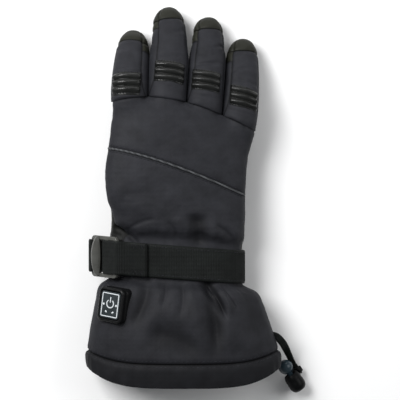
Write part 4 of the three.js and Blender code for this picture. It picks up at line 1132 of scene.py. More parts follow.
def digit_surface(d, turns, alongs, sizes):
    """Places on a finger with its seams, creases and small wrinkles, and how dark the painted shade in
    its seam gaps is.
    """
    place = digit(d, turns, alongs)
    out = outward(lambda a, b: digit(d, a, b), turns, alongs)
    inward = np.zeros(place.shape[:-1])
    dark = np.zeros(place.shape[:-1])
    for distance, depth, shade in finger_seams(d, turns, alongs, place):
        inward += pinch(distance, sizes.seam_width * 0.62, sizes.seam_depth * depth)
        # painted shade in the seam gaps
        dark = np.maximum(dark, shade * np.exp(-((distance / (0.6 * MM)) ** 2)))
    for fold in FINGER_FOLDS:
        if fold["finger"] == d["name"]:
            aside = turns - fold["turn"]
            past = alongs - fold["along"] - fold["slant"] * aside
            away = past * d["length"] / (fold["width"] * MM)
            near = np.exp(-((aside / fold["reach"]) ** 2))
            ridge = np.exp(-(((np.abs(away) - 1.9) / 0.9) ** 2))
            inward += fold["depth"] * MM * near * (np.exp(-(away**2)) - 0.35 * ridge)
    flat = place.reshape(-1, 3)
    small = 1.3 * wrinkle(flat, 12 * MM, (1.2, 1, 1.2), 8.0)
    small += wrinkle(flat, 6 * MM, (1.8, 0.8, 1.2), 5.0)
    small += 0.4 * wrinkle(flat, 3.2 * MM, (1.5, 0.8, 1), 9.0)
    bump = sizes.crumple * 0.7 * small.reshape(place.shape[:-1])
    bump *= 0.3 + 0.7 * np.clip(np.sin(turns * 2 * np.pi), 0, 1)
    fade = np.clip((1.02 - alongs) / 0.08, 0, 1)
    swell = pressed_out(d, turns, place)
    quiet = 1 - 0.8 * np.clip(swell / (0.3 * MM), 0, 1)
    place = place + out * ((bump - inward) * quiet * fade + swell)[..., None]
    place[..., 2] = np.maximum(place[..., 2], 0)
    return place, dark


def shell_between(name, d, starts, ends, sizes, materials, closed_tip=False):
    """A padded tube of a finger between two lines round it, with its inner wall."""
    columns = len(starts)
    turns = np.arange(columns) / columns
    rows = max(24, int(np.mean(ends - starts) * d["length"] / (0.58 * MM)))
    share = np.linspace(0, 1, rows)[:, None]
    if closed_tip:
        share = np.sin(share * np.pi / 2)
    alongs = starts[None, :] + (ends - starts)[None, :] * share
    turn_grid = turns[None, :] + 0 * alongs
    outer, dark = digit_surface(d, turn_grid, alongs, sizes)
    inner_rows = 10
    inner_share = np.linspace(0, 1, inner_rows)[:, None] * (0.9 if closed_tip else 1)
    inner_alongs = starts[None, :] + (ends - starts)[None, :] * inner_share
    thick = THUMB_WALL if d["name"] == "thumb" else WALL
    inner = digit(d, turns[None, :], inner_alongs, -thick)
    verts = np.concatenate([outer.reshape(-1, 3), inner.reshape(-1, 3)])
    start_inner = rows * columns
    faces = quads(rows, columns) + quads(inner_rows, columns, start_inner)
    last_outer, last_inner = (rows - 1) * columns, start_inner + (inner_rows - 1) * columns
    for c in range(columns):
        n = (c + 1) % columns
        faces.append((c, n, start_inner + n, start_inner + c))
        if not closed_tip:
            faces.append((last_outer + c, last_outer + n, last_inner + n, last_inner + c))
    if closed_tip:
        faces.append(tuple(range(last_outer, last_outer + columns)))
        faces.append(tuple(range(last_inner, last_inner + columns)))
    obj = new_object(name, verts, faces)
    for material in materials:
        obj.data.materials.append(material_named(material))
    store_painted_shade(obj, np.concatenate([dark.ravel(), np.zeros(len(verts) - dark.size)]))
    if len(materials) > 1:
        leather = leather_side(d, turn_grid[:-1] + 0.5 / columns, alongs[:-1]).astype(int).ravel()
        picked = np.concatenate([leather, np.zeros(len(faces) - leather.size, int)])
        obj.data.polygons.foreach_set("material_index", picked)
    return fix_normals(obj)


def seam_start(d):
    """Where a finger's sleeve starts round its root: at the finger seam, as shares of its length."""
    turns = np.arange(FINGER_COLUMNS) / FINGER_COLUMNS
    low, high = np.full(FINGER_COLUMNS, -0.12), np.full(FINGER_COLUMNS, 0.2)
    for _ in range(24):
        starts = (low + high) / 2
        here = digit(d, turns, starts)
        short = here[:, 1] < knuckle_y(here[:, 0]) + SEAM_SLIT
        low, high = np.where(short, starts, low), np.where(short, high, starts)
    return starts


def finger_pieces(d, sizes):
    """The sleeve of a finger and its leather tip."""
    slit = SEAM_SLIT / d["length"]
    ends = np.full(FINGER_COLUMNS, tip_line(d) - slit)
    name = d["name"]
    materials = ["shell_cloth", "fingertip_hide"]
    sleeve = shell_between(name + "_sleeve_cloth", d, seam_start(d), ends, sizes, materials)
    place_piece(sleeve, "glove", name + "_sleeve")
    whole = np.full(FINGER_COLUMNS, 1.0)
    tip = shell_between(name + "_tip_cap", d, ends + 2 * slit, whole, sizes, ["fingertip_hide"], True)
    place_piece(tip, "glove", name + "_tip")


def thumb_piece(sizes):
    """The thumb under the palm."""
    starts = np.full(FINGER_COLUMNS, (THUMB_SEAM + 0.1 * MM) / THUMB["length"])
    whole = np.full(FINGER_COLUMNS, 1.0)
    thumb = shell_between("thumb_sleeve_leather", THUMB, starts, whole, sizes, ["palm_hide"], True)
    place_piece(thumb, "glove", "thumb_sleeve")


def patch_point(d, offset, turn, lift):
    """A place on the ribbed patch of a finger."""
    patch = PATCHES[d["name"]]
    sideways = (turn - 0.25) / PATCH_REACH * d["width"] * 0.36
    slanted = offset - math.tan(math.radians(patch["slant"])) * sideways
    along = patch["middle"] + slanted / d["length"]
    rolled = turn + patch["roll"] / 360
    out = outward(lambda a, b: digit(d, a, b), rolled, along)
    return digit(d, rolled, along) + out * np.asarray(lift)[..., None]


def knuckle_patch(d):
    """Three padded leather ribs on a sewn patch over a knuckle."""
    half = RIB_COUNT * RIB_PITCH / 2 + RIB_MARGIN
    offsets = np.linspace(-half, half, 92)[:, None]
    turns = np.linspace(0.25 + PATCH_REACH, 0.25 - PATCH_REACH, 84)[None, :]
    inside = half - RIB_MARGIN
    phase = (offsets + inside) / RIB_PITCH
    ribbed = np.abs(np.sin(np.pi * phase)) ** 0.9
    on_ribs = smoothstep(inside + 0.2 * MM, inside - 0.2 * MM, np.abs(offsets))
    share = np.abs(turns - 0.25) / PATCH_REACH
    fall = 1 - smoothstep(0.78, 0.97, share)
    lift = 0.3 * MM + (RIB_HEIGHT - 0.2 * MM) * ribbed * on_ribs * (0.25 + 0.75 * fall)
    edge = smoothstep(0, 0.7 * MM, half - np.abs(offsets)) * smoothstep(1.0, 0.96, share)
    lift = lift * edge + 0.05 * MM
    offsets, turns = np.broadcast_arrays(offsets, turns)
    top = patch_point(d, offsets, turns, lift)
    grain = 0.1 * MM * wrinkle(top, 3 * MM, (1, 1, 1), 2.0)
    top = patch_point(d, offsets, turns, lift + grain * edge)
    base = patch_point(d, offsets, turns, np.full(lift.shape, -0.8 * MM))
    rows, columns = top.shape[:2]
    verts = np.concatenate([top.reshape(-1, 3), base.reshape(-1, 3)])
    count = rows * columns
    faces = quads(rows, columns, 0, False) + [f[::-1] for f in quads(rows, columns, count, False)]
    rim = list(range(columns)) + [r * columns + columns - 1 for r in range(1, rows)]
    rim += [(rows - 1) * columns + c for c in range(columns - 2, -1, -1)]
    rim += [r * columns for r in range(rows - 2, 0, -1)]
    for a, b in zip(rim, rim[1:] + rim[:1]):
        faces.append((a, b, b + count, a + count))
    obj = new_object(d["name"] + "_knuckle_ribs", verts, faces, material_named("knuckle_hide"))
    fix_normals(obj)
    place_piece(obj, "glove", d["name"] + "_knuckle")


# The diagonal piping

def on_back(x, y, lift):
    """Places on the back of the hand above points of the plan."""
    turn, along = np.full(len(x), 0.25), y / HAND_LENGTH
    for _ in range(60):
        here = body(turn, along, lift)
        turn = np.clip(turn - (x - here[:, 0]) / HAND_WIDTH / 4, 0.01, 0.49)
        along = along + (y - here[:, 1]) / HAND_LENGTH
    return body(turn, along, lift)


def round_rod(name, path, radius, sides, material):
    """A rod of round section along a path, with closed ends."""
    path = np.asarray(path)
    forward = np.gradient(path, axis=0)
    forward /= np.linalg.norm(forward, axis=1, keepdims=True)
    across = np.cross(forward, [0, 0, 1])
    across /= np.linalg.norm(across, axis=1, keepdims=True)
    up = np.cross(across, forward)
    angle = np.arange(sides) / sides * 2 * np.pi
    ring = np.cos(angle)[None, :, None] * across[:, None] + np.sin(angle)[None, :, None] * up[:, None]
    radius = np.broadcast_to(radius, len(path))[:, None, None]
    return tube(name, path[:, None] + ring * radius, material)


def piping_piece(sizes):
    """The grey piping that lies in the diagonal seam."""
    plan = piping_plan(220)
    path = on_back(plan[:, 0], plan[:, 1], PIPING_RADIUS * 0.35 - sizes.seam_depth * 0.55)
    turns = np.arange(len(path))
    radius = PIPING_RADIUS * (0.88 + 0.06 * np.sin(turns * 1.7))
    rod = round_rod("piping_cord_sewn", path, radius, 12, material_named("piping_cord"))
    place_piece(rod, "glove", "piping")


# The cuff and the hem

def hem_distance(turn, along):
    """How far places of the cuff are past the hem's seam."""
    return (np.abs(along) - HEM_SHARE) * CUFF_LENGTH + 0 * turn


def cuff_shade(place, turn, along):
    """How dark the painted shade is in the hem's seam gap and in the folds of the cuff."""
    seam = np.exp(-((hem_distance(turn, along) / (1.0 * MM)) ** 2))
    on_top = np.clip(3 * np.sin(turn * 2 * np.pi), 0, 1)
    return np.maximum(0.95 * seam, fold_shade(place[..., 0], place[..., 1]) * on_top)


def cuff_lift(place, turn, along, sizes):
    """Seams, gathers and small wrinkles of the cuff and the hem."""
    to_hem = hem_distance(turn, along)
    inward = pinch(to_hem, sizes.seam_width, sizes.seam_depth * 1.25)
    to_strap = (np.abs(along) - 0.17) * CUFF_LENGTH
    perimeter = 280 * MM
    run = turn * perimeter
    gathers = wrinkle(np.stack([run, 0 * run, 0 * run], -1), 5 * MM, (1, 1, 1), 4.0)
    unrolled = np.stack([run, place[..., 1], 0 * run], -1)
    pulled = wrinkle(unrolled, 5.5 * MM, (0.8, 4.0, 1), 6.0)
    crumple = wrinkle(unrolled, 9 * MM, (1, 1.3, 1), 8.0)
    broad = wrinkle(unrolled, 24 * MM, (1, 1.5, 1), 2.0)
    by_strap = np.exp(-((to_strap / (16 * MM)) ** 2))
    by_seam = np.exp(-((to_hem / (7 * MM)) ** 2))
    on_hem = smoothstep(0, 3 * MM, to_hem)
    puff = 0.7 * MM * np.sin(np.pi * np.clip(to_hem / HEM_WIDTH, 0, 1)) ** 0.6
    lift = sizes.crumple * (0.8 * crumple + 1.6 * broad * (1 - on_hem)) + puff
    lift += sizes.crumple * (1.0 * by_strap * pulled + 1.5 * by_seam * gathers + 0.9 * on_hem * pulled)
    on_top = np.clip(3 * np.sin(turn * 2 * np.pi), 0, 1)
    return lift - inward - 0.45 * fold_depth(place[..., 0], place[..., 1], 0.4) * on_top


def cloth_hoop(name, shares, sizes, columns=560):
    """A band of padded cloth round the cuff, its outer and inner walls joined at both edges."""
    turns = np.arange(columns) / columns
    turn, along = np.meshgrid(turns, -np.asarray(shares))
    first = body(turn, along)
    outer = body(turn, along, 0.0, True, cuff_lift(first, turn, along, sizes))
    inner_shares = np.linspace(shares[0], shares[-1], max(5, len(shares) // 5))
    turn_in, along_in = np.meshgrid(turns, -inner_shares[::-1])
    inner = body(turn_in, along_in, -WALL)
    hoop = tube(name, np.concatenate([outer, inner]), None, "joined")
    # painted shade of the hem's seam gap and the folds, on the outer surface only
    dark = cuff_shade(first, turn, along).ravel()
    store_painted_shade(hoop, np.concatenate([dark, np.zeros(inner.size // 3)]))
    return hoop


def cuff_pieces(sizes):
    """The flared cuff and its hem band."""
    slit = SEAM_SLIT / CUFF_LENGTH
    cuff = cloth_hoop("cuff_cloth", np.linspace(0.0006, HEM_SHARE - slit, 130), sizes)
    cuff.data.materials.append(material_named("cuff_cloth"))
    place_piece(cuff, "glove", "cuff")
    hem = cloth_hoop("hem_band_cloth", np.linspace(HEM_SHARE + slit, 1, 48), sizes)
    rim = hem.modifiers.new("rolled_rim", "BEVEL")
    rim.width = 1.4 * MM
    rim.segments = 3
    rim.limit_method = "ANGLE"
    rim.angle_limit = math.radians(50)
    baked(hem)
    hem.data.materials.append(material_named("hem_cloth"))
    place_piece(hem, "glove", "hem_band")


# The strap, its tail, the buckle and its anchor

def on_buckle(down, out):
    """A point in the upright plane, from the buckle's own directions."""
    x = BUCKLE_CENTRE[0] - math.cos(BUCKLE_LEAN) * down - math.sin(BUCKLE_LEAN) * out
    z = BUCKLE_CENTRE[1] - math.sin(BUCKLE_LEAN) * down + math.cos(BUCKLE_LEAN) * out
    return np.array([x, z])


def smooth_path(points, count):
    """Evenly spaced points of a smooth curve through a few points of a plane."""
    points = np.asarray(points, float)
    padded = np.concatenate([2 * points[:1] - points[1:2], points, 2 * points[-1:] - points[-2:-1]])
    fine = []
    for i in range(len(points) - 1):
        a, b, c, d = padded[i:i + 4]
        for t in np.linspace(0, 1, 24, endpoint=False):
            fine.append(0.5 * (2 * b + (c - a) * t + (2 * a - 5 * b + 4 * c - d) * t**2
                               + (3 * b - a - 3 * c + d) * t**3))
    fine.append(points[-1])
    fine = np.array(fine)
    run = np.concatenate([[0], np.cumsum(np.linalg.norm(np.diff(fine, axis=0), axis=1))])
    even = np.linspace(0, run[-1], count)
    return np.stack([np.interp(even, run, fine[:, k]) for k in range(fine.shape[1])], -1)


def plane_normals(path, closed):
    """The direction to the left of a path of a plane, at each of its points."""
    if closed:
        run = np.roll(path, -1, axis=0) - np.roll(path, 1, axis=0)
    else:
        run = np.gradient(path, axis=0)
    normal = np.stack([-run[:, 1], run[:, 0]], -1)
    return normal / np.linalg.norm(normal, axis=1, keepdims=True)


def webbing_section(width, thick, across=26):
    """The outline of a webbing's section, with its woven edges, as sideways and upwards places."""
    edge = np.linspace(-1, 1, across)
    top = np.stack([edge * width / 2, np.full(across, thick / 2)], -1)
    inset = np.minimum(1, (1 - np.abs(edge)) * width / 2 / (1.1 * MM))
    top[:, 1] *= 0.55 + 0.45 * np.sqrt(inset)
    return np.concatenate([top, top[::-1] * [1, -1]])


def webbing_band(name, path, width, thick, sizes, slope=STRAP_SLOPE, closed=False, depth=0.13 * MM):
    """Ribbed webbing whose middle follows a path in an upright plane."""
    path = np.asarray(path)
    normal = plane_normals(path, closed)
    steps = np.linalg.norm(np.diff(path, axis=0), axis=1)
    travel = np.concatenate([[0], np.cumsum(steps)])
    rib = np.sin(travel / sizes.webbing_rib * 2 * np.pi) * depth
    section = webbing_section(width, thick)
    rings = []
    for (x, z), (nx, nz), wave in zip(path, normal, rib):
        ribbed = np.abs(section[:, 0]) < width / 2 - 1.0 * MM
        up = section[:, 1] + np.sign(section[:, 1]) * wave * ribbed
        place_x = x + nx * up
        rings.append(np.stack([place_x, slope * place_x + section[:, 0], z + nz * up], -1))
    ends = "joined" if closed else "capped"
    return tube(name, rings, material_named("strap_webbing"), ends)


def waist(turn, lift):
    """Places on the wrist's own section, in the upright plane."""
    return body(np.asarray(turn, float), np.zeros(np.shape(turn)), lift, False)[..., [0, 2]]


def over_strap(x, lift):
    """A point above the strap's back at a place across the glove."""
    turn = 0.35
    for _ in range(60):
        turn = float(np.clip(turn - (x - waist(turn, lift)[0]) / HAND_WIDTH / 5, 0.25, 0.5))
    return waist(turn, lift)


def strap_pieces(sizes):
    """The strap round the wrist, its free tail and the anchor loop of the buckle."""
    turns = np.arange(2400) / 2400
    ring = waist(turns, STRAP_GAP + STRAP_THICK / 2)
    ring[:, 1] = np.maximum(ring[:, 1], STRAP_THICK / 2 + 0.16 * MM)
    ring = smooth_path(np.concatenate([ring[::8], ring[:1]]), 1800)[:-1]
    strap = webbing_band("wrist_strap_webbing", ring, STRAP_WIDTH, STRAP_WEAVE, sizes, closed=True)
    place_piece(strap, "glove", "wrist_strap")
    tail_piece(sizes)
    anchor_piece(sizes)


def tail_piece(sizes):
    """The free end of the strap, round the buckle's middle bar and folded and sewn at its end."""
    over = STRAP_OVER
    wrap = math.hypot(BUCKLE_BAR, BUCKLE_THICK / 2) + STRAP_GAP + STRAP_THICK / 2
    clear = BUCKLE_THICK / 2 + STRAP_GAP + STRAP_THICK / 2
    rolled = [
        on_buckle(MIDDLE_BAR + math.cos(a) * wrap, math.sin(a) * wrap)
        for a in np.radians(np.linspace(-90, 90, 9))
    ]
    tail_top = over + STRAP_THICK * 1.5 + STRAP_GAP * 0.5
    path = [
        over_strap(TAIL_END - TAIL_HEM - 1 * MM, over + STRAP_THICK / 2),
        on_buckle(TOP_BAR - 3 * MM, -clear - 1.2 * MM),
        on_buckle(TOP_BAR + 1 * MM, -clear),
        *rolled,
        on_buckle(TOP_BAR + 1 * MM, clear),
        on_buckle(TOP_BAR - 3 * MM, clear - 0.6 * MM),
        over_strap(TAIL_END - TAIL_HEM - 1 * MM, over + STRAP_THICK * 1.5 + STRAP_GAP + 1 * MM),
        over_strap(TAIL_END - TAIL_HEM + 3 * MM, tail_top),
        over_strap(TAIL_END - TAIL_HEM / 2, tail_top),
        over_strap(TAIL_END + 0.3 * MM, tail_top),
    ]
    tail = webbing_band("strap_tail_webbing", smooth_path(path, 620), STRAP_WIDTH, STRAP_WEAVE, sizes)
    hem = np.linspace(TAIL_END - TAIL_HEM, TAIL_END, 8)
    fold = [over_strap(x, over + STRAP_THICK * 0.55) for x in hem]
    fold.append(fold[-1] + [0.6 * MM, 0.5 * MM])
    turned = webbing_band("strap_tail_fold", smooth_path(fold, 150), STRAP_WIDTH, STRAP_WEAVE, sizes)
    angles = np.radians(np.linspace(-90, 90, 12))
    rounded = np.stack([np.cos(angles) * 1.1 * MM, np.sin(angles) * STRAP_THICK / 2], -1)
    lip = over_strap(TAIL_END, over + STRAP_THICK) + rounded
    nose = webbing_band("strap_tail_nose", lip, STRAP_WIDTH - 0.2 * MM, STRAP_THICK - 0.5 * MM,
                        sizes, depth=0)
    whole = joined([tail, turned, nose], "strap_tail_sewn")
    dress(whole, material_named("strap_webbing"))
    place_piece(whole, "glove", "strap_tail")


def anchor_piece(sizes):
    """The webbing loop that holds the buckle's end bar."""
    radius = math.hypot(BUCKLE_END, BUCKLE_THICK / 2) + STRAP_GAP + STRAP_THICK / 2
    loop = [waist(turn, STRAP_OVER + STRAP_THICK / 2) for turn in (0.565, 0.535)]
    loop.append(on_buckle(END_BAR - 1.2 * MM, -radius - 0.4 * MM))
    loop += [
        on_buckle(END_BAR + math.cos(a) * radius, math.sin(a) * radius)
        for a in np.radians(np.linspace(-110, 110, 11))
    ]
    anchor = webbing_band("buckle_anchor_webbing", smooth_path(loop, 330), ANCHOR_WIDTH,
                          STRAP_THICK - 0.2 * MM, sizes)
    place_piece(anchor, "glove", "buckle_anchor")


def rounded_outline(width, length, corner, count=10):
    """A rectangle with round corners, as points of a plane."""
    points = []
    for cx, cy, start in ((1, 1, 0), (-1, 1, 90), (-1, -1, 180), (1, -1, 270)):
        for angle in np.radians(np.linspace(start, start + 90, count)):
            points.append((cx * (width / 2 - corner) + math.cos(angle) * corner,
                           cy * (length / 2 - corner) + math.sin(angle) * corner))
    return points


def flat_moulding(name, outline, holes, thick, bevel, material):
    """A moulded plate with holes and softly rounded edges, lying in its own plane."""
    curve = bpy.data.curves.new(name, "CURVE")
    curve.dimensions = "2D"
    curve.fill_mode = "BOTH"
    for points in [outline] + holes:
        line = curve.splines.new("POLY")
        line.points.add(len(points) - 1)
        for point, (x, y) in zip(line.points, points):
            point.co = (x, y, 0, 1)
        line.use_cyclic_u = True
    curve.offset = -bevel
    curve.extrude = thick / 2 - bevel
    curve.bevel_depth = bevel
    curve.bevel_resolution = 3
    holder = placed(name, curve)
    graph = bpy.context.evaluated_depsgraph_get()
    mesh = bpy.data.meshes.new_from_object(holder.evaluated_get(graph))
    bpy.data.objects.remove(holder)
    bpy.data.curves.remove(curve)
    obj = fix_normals(placed(name, mesh))
    dress(obj, material)
    return obj


def buckle_matrix():
    """The buckle's place: its own X runs down it, and its Z faces out."""
    down = Vector((-math.cos(BUCKLE_LEAN), 0, -math.sin(BUCKLE_LEAN)))
    out = Vector((-math.sin(BUCKLE_LEAN), 0, math.cos(BUCKLE_LEAN)))
    turn = Matrix((down, (0, -1, 0), out)).transposed().to_4x4()
    turn.translation = (BUCKLE_CENTRE[0], STRAP_SLOPE * BUCKLE_CENTRE[0], BUCKLE_CENTRE[1])
    return turn


def buckle_piece():
    """The moulded ladder buckle with its curved lip."""
    plastic = material_named("buckle_moulding")
    lip_bar = END_BAR - BUCKLE_END - BUCKLE_SLOT - BUCKLE_RAIL / 2
    half = BUCKLE_WIDTH / 2 - BUCKLE_RAIL - 0.35 * MM
    holes = []
    for low, high in (
        (TOP_BAR + BUCKLE_RAIL / 2, MIDDLE_BAR - BUCKLE_BAR),
        (MIDDLE_BAR + BUCKLE_BAR, lip_bar - BUCKLE_RAIL / 2),
        (lip_bar + BUCKLE_RAIL / 2, END_BAR - BUCKLE_END),
    ):
        middle, size = (low + high) / 2, high - low
        holes.append([(x + middle, y) for x, y in rounded_outline(size, 2 * half, 0.8 * MM, 4)])
    plate = flat_moulding("buckle_plate", rounded_outline(BUCKLE_LENGTH, BUCKLE_WIDTH, 3 * MM), holes,
                          BUCKLE_THICK, 0.55 * MM, plastic)
    wide = BUCKLE_WIDTH / 2 - 0.2 * MM
    t = np.linspace(-1, 1, 40)
    front = [(BUCKLE_LIP * (0.5 + 0.45 * (1 - v * v)) * (1 - 0.6 * v**8), wide * v) for v in t]
    back = [(-BUCKLE_RAIL * 0.5 * (1 - v * v), wide * v) for v in t[::-1]][1:-1]
    blade = flat_moulding("buckle_lip", front + back, [], BUCKLE_THICK * 0.75, 0.5 * MM, plastic)
    lift = Matrix.Translation((0, 0, BUCKLE_THICK * 0.375))
    tip = Matrix.Rotation(math.radians(-58), 4, "Y")
    seat = Matrix.Translation((lip_bar - BUCKLE_RAIL / 2 + 1.4 * MM, 0, BUCKLE_THICK * 0.25))
    blade.data.transform(seat @ tip @ lift)
    whole = joined([plate, blade], "buckle_moulded")
    whole.data.transform(buckle_matrix())
    points = read_points(whole)
    points[:, 1] += STRAP_SLOPE * (points[:, 0] - BUCKLE_CENTRE[0])
    write_points(whole, points)
    whole.data.materials.append(plastic)
    place_piece(whole, "glove", "buckle")


# The switch on the cuff

def switch_matrix():
    """The switch's place on the cuff."""
    turn, along = 0.35, SWITCH_SPOT[1] / CUFF_LENGTH
    for _ in range(40):
        here = body(turn, along)
        turn -= (SWITCH_SPOT[0] - here[0]) / CUFF_WIDTH / 5
        along += (SWITCH_SPOT[1] - here[1]) / CUFF_LENGTH / 2
    seat = body(turn, along)
    made = Matrix.Rotation(-SWITCH_LEAN, 4, "Y") @ Matrix.Rotation(SWITCH_TURN, 4, "Z")
    made.translation = Vector(seat)
    return made


def rounded_block(name, width, length, corner, profile, material, matrix):
    """A block with round corners whose inset follows a profile of inset and height pairs."""
    rings = []
    for inset, height in profile:
        ring = rounded_outline(width - 2 * inset, length - 2 * inset, max(corner - inset, 0.3 * MM), 12)
        rings.append([(x, y, height) for x, y in ring])
    block = tube(name, rings, material)
    block.data.transform(matrix)
    return block


def switch_pieces():
    """The switch housing, its membrane and the light marks on it."""
    place = switch_matrix()
    top = SWITCH_HEIGHT
    rim_round = 1.6 * MM
    rim = [
        (rim_round * (1 - math.cos(a)), top - rim_round * (1 - math.sin(a)))
        for a in np.linspace(0, math.pi / 2, 9)
    ]
    groove = 0.35 * MM
    side = [(0.0, -7 * MM), (0.0, 1.4 * MM), (groove, 1.8 * MM), (groove, 2.1 * MM), (0.0, 2.5 * MM)]
    inner = (SWITCH_WIDTH - FACE_WIDTH) / 2 - STRAP_GAP
    well = [(inner - 0.35 * MM, top), (inner, top - 0.3 * MM), (inner, top - 1.1 * MM)]
    housing = rounded_block("switch_housing_moulded", SWITCH_WIDTH, SWITCH_LENGTH, SWITCH_ROUND,
                            side + rim + well, material_named("switch_moulding"), place)
    place_piece(housing, "glove", "switch_housing")
    face_top = SWITCH_HEIGHT - 0.1 * MM
    profile = [
        (inset * MM, face_top - below * MM)
        for inset, below in ((0, 0.9), (0, 0.35), (0.12, 0.1), (0.5, 0))
    ]
    face = rounded_block("switch_face_membrane", FACE_WIDTH, FACE_LENGTH, 2 * MM, profile,
                         material_named("switch_face_plastic"), place)
    place_piece(face, "glove", "switch_face")
    marks = switch_marks(face_top)
    marks.data.transform(place)
    place_piece(marks, "glove", None)


def stroke(points, width, height, closed=False):
    """A thin raised line of print along points of a plane."""
    points = np.asarray(points, float)
    normal = plane_normals(points, closed)
    low, high = height - 0.2 * MM, height + 0.07 * MM
    rings = []
    for (x, y), (nx, ny) in zip(points, normal):
        a = (x + nx * width / 2, y + ny * width / 2)
        b = (x - nx * width / 2, y - ny * width / 2)
        rings.append([(*a, low), (*a, high), (*b, high), (*b, low)])
    return tube("mark", rings, None, "joined" if closed else "capped")


def switch_marks(height):
    """A frame, the common power sign and four small level marks."""
    line = 0.7 * MM
    marks = [stroke(rounded_outline(14.2 * MM, 17.2 * MM, 0.7 * MM, 4), line, height, True)]
    centre = np.array([0.1 * MM, 1.0 * MM])
    angles = np.radians(np.linspace(125, 415, 40))
    ring = centre + 3.0 * MM * np.stack([np.cos(angles), np.sin(angles)], -1)
    marks.append(stroke(ring, line * 1.15, height))
    bar = centre + np.array([[0, y * MM] for y in np.linspace(0.8, 5, 5)])
    marks.append(stroke(bar, line * 1.15, height))
    angles = np.radians(np.arange(0, 360, 24))
    dot = 0.42 * MM * np.stack([np.cos(angles), np.sin(angles)], -1)
    for x in (-5.6, 5.5):
        disc = np.array([x, 0.2]) * MM + dot
        marks.append(stroke(disc, 0.82 * MM, height, True))
    for x, y, turn in ((-2.9, -5.2, -38), (3.1, -5.2, 38)):
        angle = math.radians(turn)
        way = np.array([math.cos(angle), math.sin(angle)]) * 0.9 * MM
        middle = np.array([x, y]) * MM
        marks.append(stroke([middle - way, middle, middle + way], 1.1 * MM, height))
    whole = joined(marks, "switch_marks_print")
    whole.data.materials.append(material_named("switch_marks"))
    return whole


# The drawcord lock

def lock_axes():
    """The lock's long axis, its side and the way its lug points."""
    axis = Vector((
        math.sin(LOCK_TURN) * math.cos(LOCK_DIP),
        -math.cos(LOCK_TURN) * math.cos(LOCK_DIP),
        -math.sin(LOCK_DIP),
    ))
    side = Vector((math.cos(LOCK_TURN), math.sin(LOCK_TURN), 0))
    out = side * math.sin(LUG_ROLL) + Vector((0, 0, -1)) * math.cos(LUG_ROLL)
    out = (out - axis * out.dot(axis)).normalized()
    return axis, side, out


def lathed(name, profile, sides, material):
    """A solid turned about the lock's axis from radius and distance pairs that end on the axis."""
    axis, side, _ = lock_axes()
    up = side.cross(axis).normalized()
    verts, faces = [], []
    rings = [p for p in profile if p[0] > 0]
    for radius, distance in rings:
        for i in range(sides):
            angle = 2 * math.pi * i / sides
            spoke = side * math.cos(angle) + up * math.sin(angle)
            verts.append(LOCK_SPOT + axis * distance + spoke * radius)
    faces += quads(len(rings), sides)
    for row, (_, distance) in ((0, profile[0]), (len(rings) - 1, profile[-1])):
        verts.append(LOCK_SPOT + axis * distance)
        for i in range(sides):
            faces.append((row * sides + i, row * sides + (i + 1) % sides, len(verts) - 1))
    return fix_normals(new_object(name, verts, faces, material))


def lug_block(name, across, out_size, along, out_at, bevel):
    """A small block in the lug's own directions, that far out from the lock's axis."""
    axis, _, out = lock_axes()
    side = out.cross(axis).normalized()
    turn = Matrix((side, out, side.cross(out))).transposed().to_4x4()
    turn.translation = LOCK_SPOT + out * out_at + axis * LUG_ALONG
    rings = []
    half = along / 2
    for inset, height in ((bevel, -half), (0, bevel - half), (0, half - bevel), (bevel, half)):
        ring = rounded_outline(across - 2 * inset, out_size - 2 * inset, min(across, out_size) * 0.3, 6)
        rings.append([(x, y, height) for x, y in ring])
    block = tube(name, rings)
    block.data.transform(turn)
    return block


def barrel_profile():
    """Half of the barrel's section, from its bore over the dished mouth to its far end."""
    end = LOCK_MOUTH + LOCK_LENGTH
    outside = [(LOCK_BARREL * 0.62, LOCK_MOUTH)]
    outside += [
        (LOCK_BARREL * (0.76 + 0.24 * math.sin(s * math.pi / 2)), LOCK_MOUTH + 0.5 * MM + 5 * MM * s)
        for s in np.linspace(0, 1, 24)
    ]
    outside += [(LOCK_BARREL - 0.25 * MM, LOCK_MOUTH + 7 * MM), (LOCK_BARREL, LOCK_MOUTH + 7.5 * MM)]
    dome = 5 * MM
    outside += [
        (LOCK_BARREL * (0.45 + 0.55 * math.cos(a)), end - dome + dome * math.sin(a))
        for a in np.linspace(0, math.pi / 2, 14)
    ]
    reach = LOCK_BALL + STRAP_GAP
    dish = [
        (math.sin(a) * reach, LOCK_TRAVEL + math.cos(a) * reach)
        for a in np.radians(np.linspace(6, 70, 16))
    ]
    outside = [p for p in outside if math.hypot(p[0], p[1] - LOCK_TRAVEL) > reach]
    dish = [p for p in dish if p[0] > LOCK_BORE and p[1] > outside[0][1]]
    bore = [(0, end - 4 * MM), (LOCK_BORE, end - 4 * MM), (LOCK_BORE, dish[0][1])]
    return bore + dish + outside + [(0, end)]


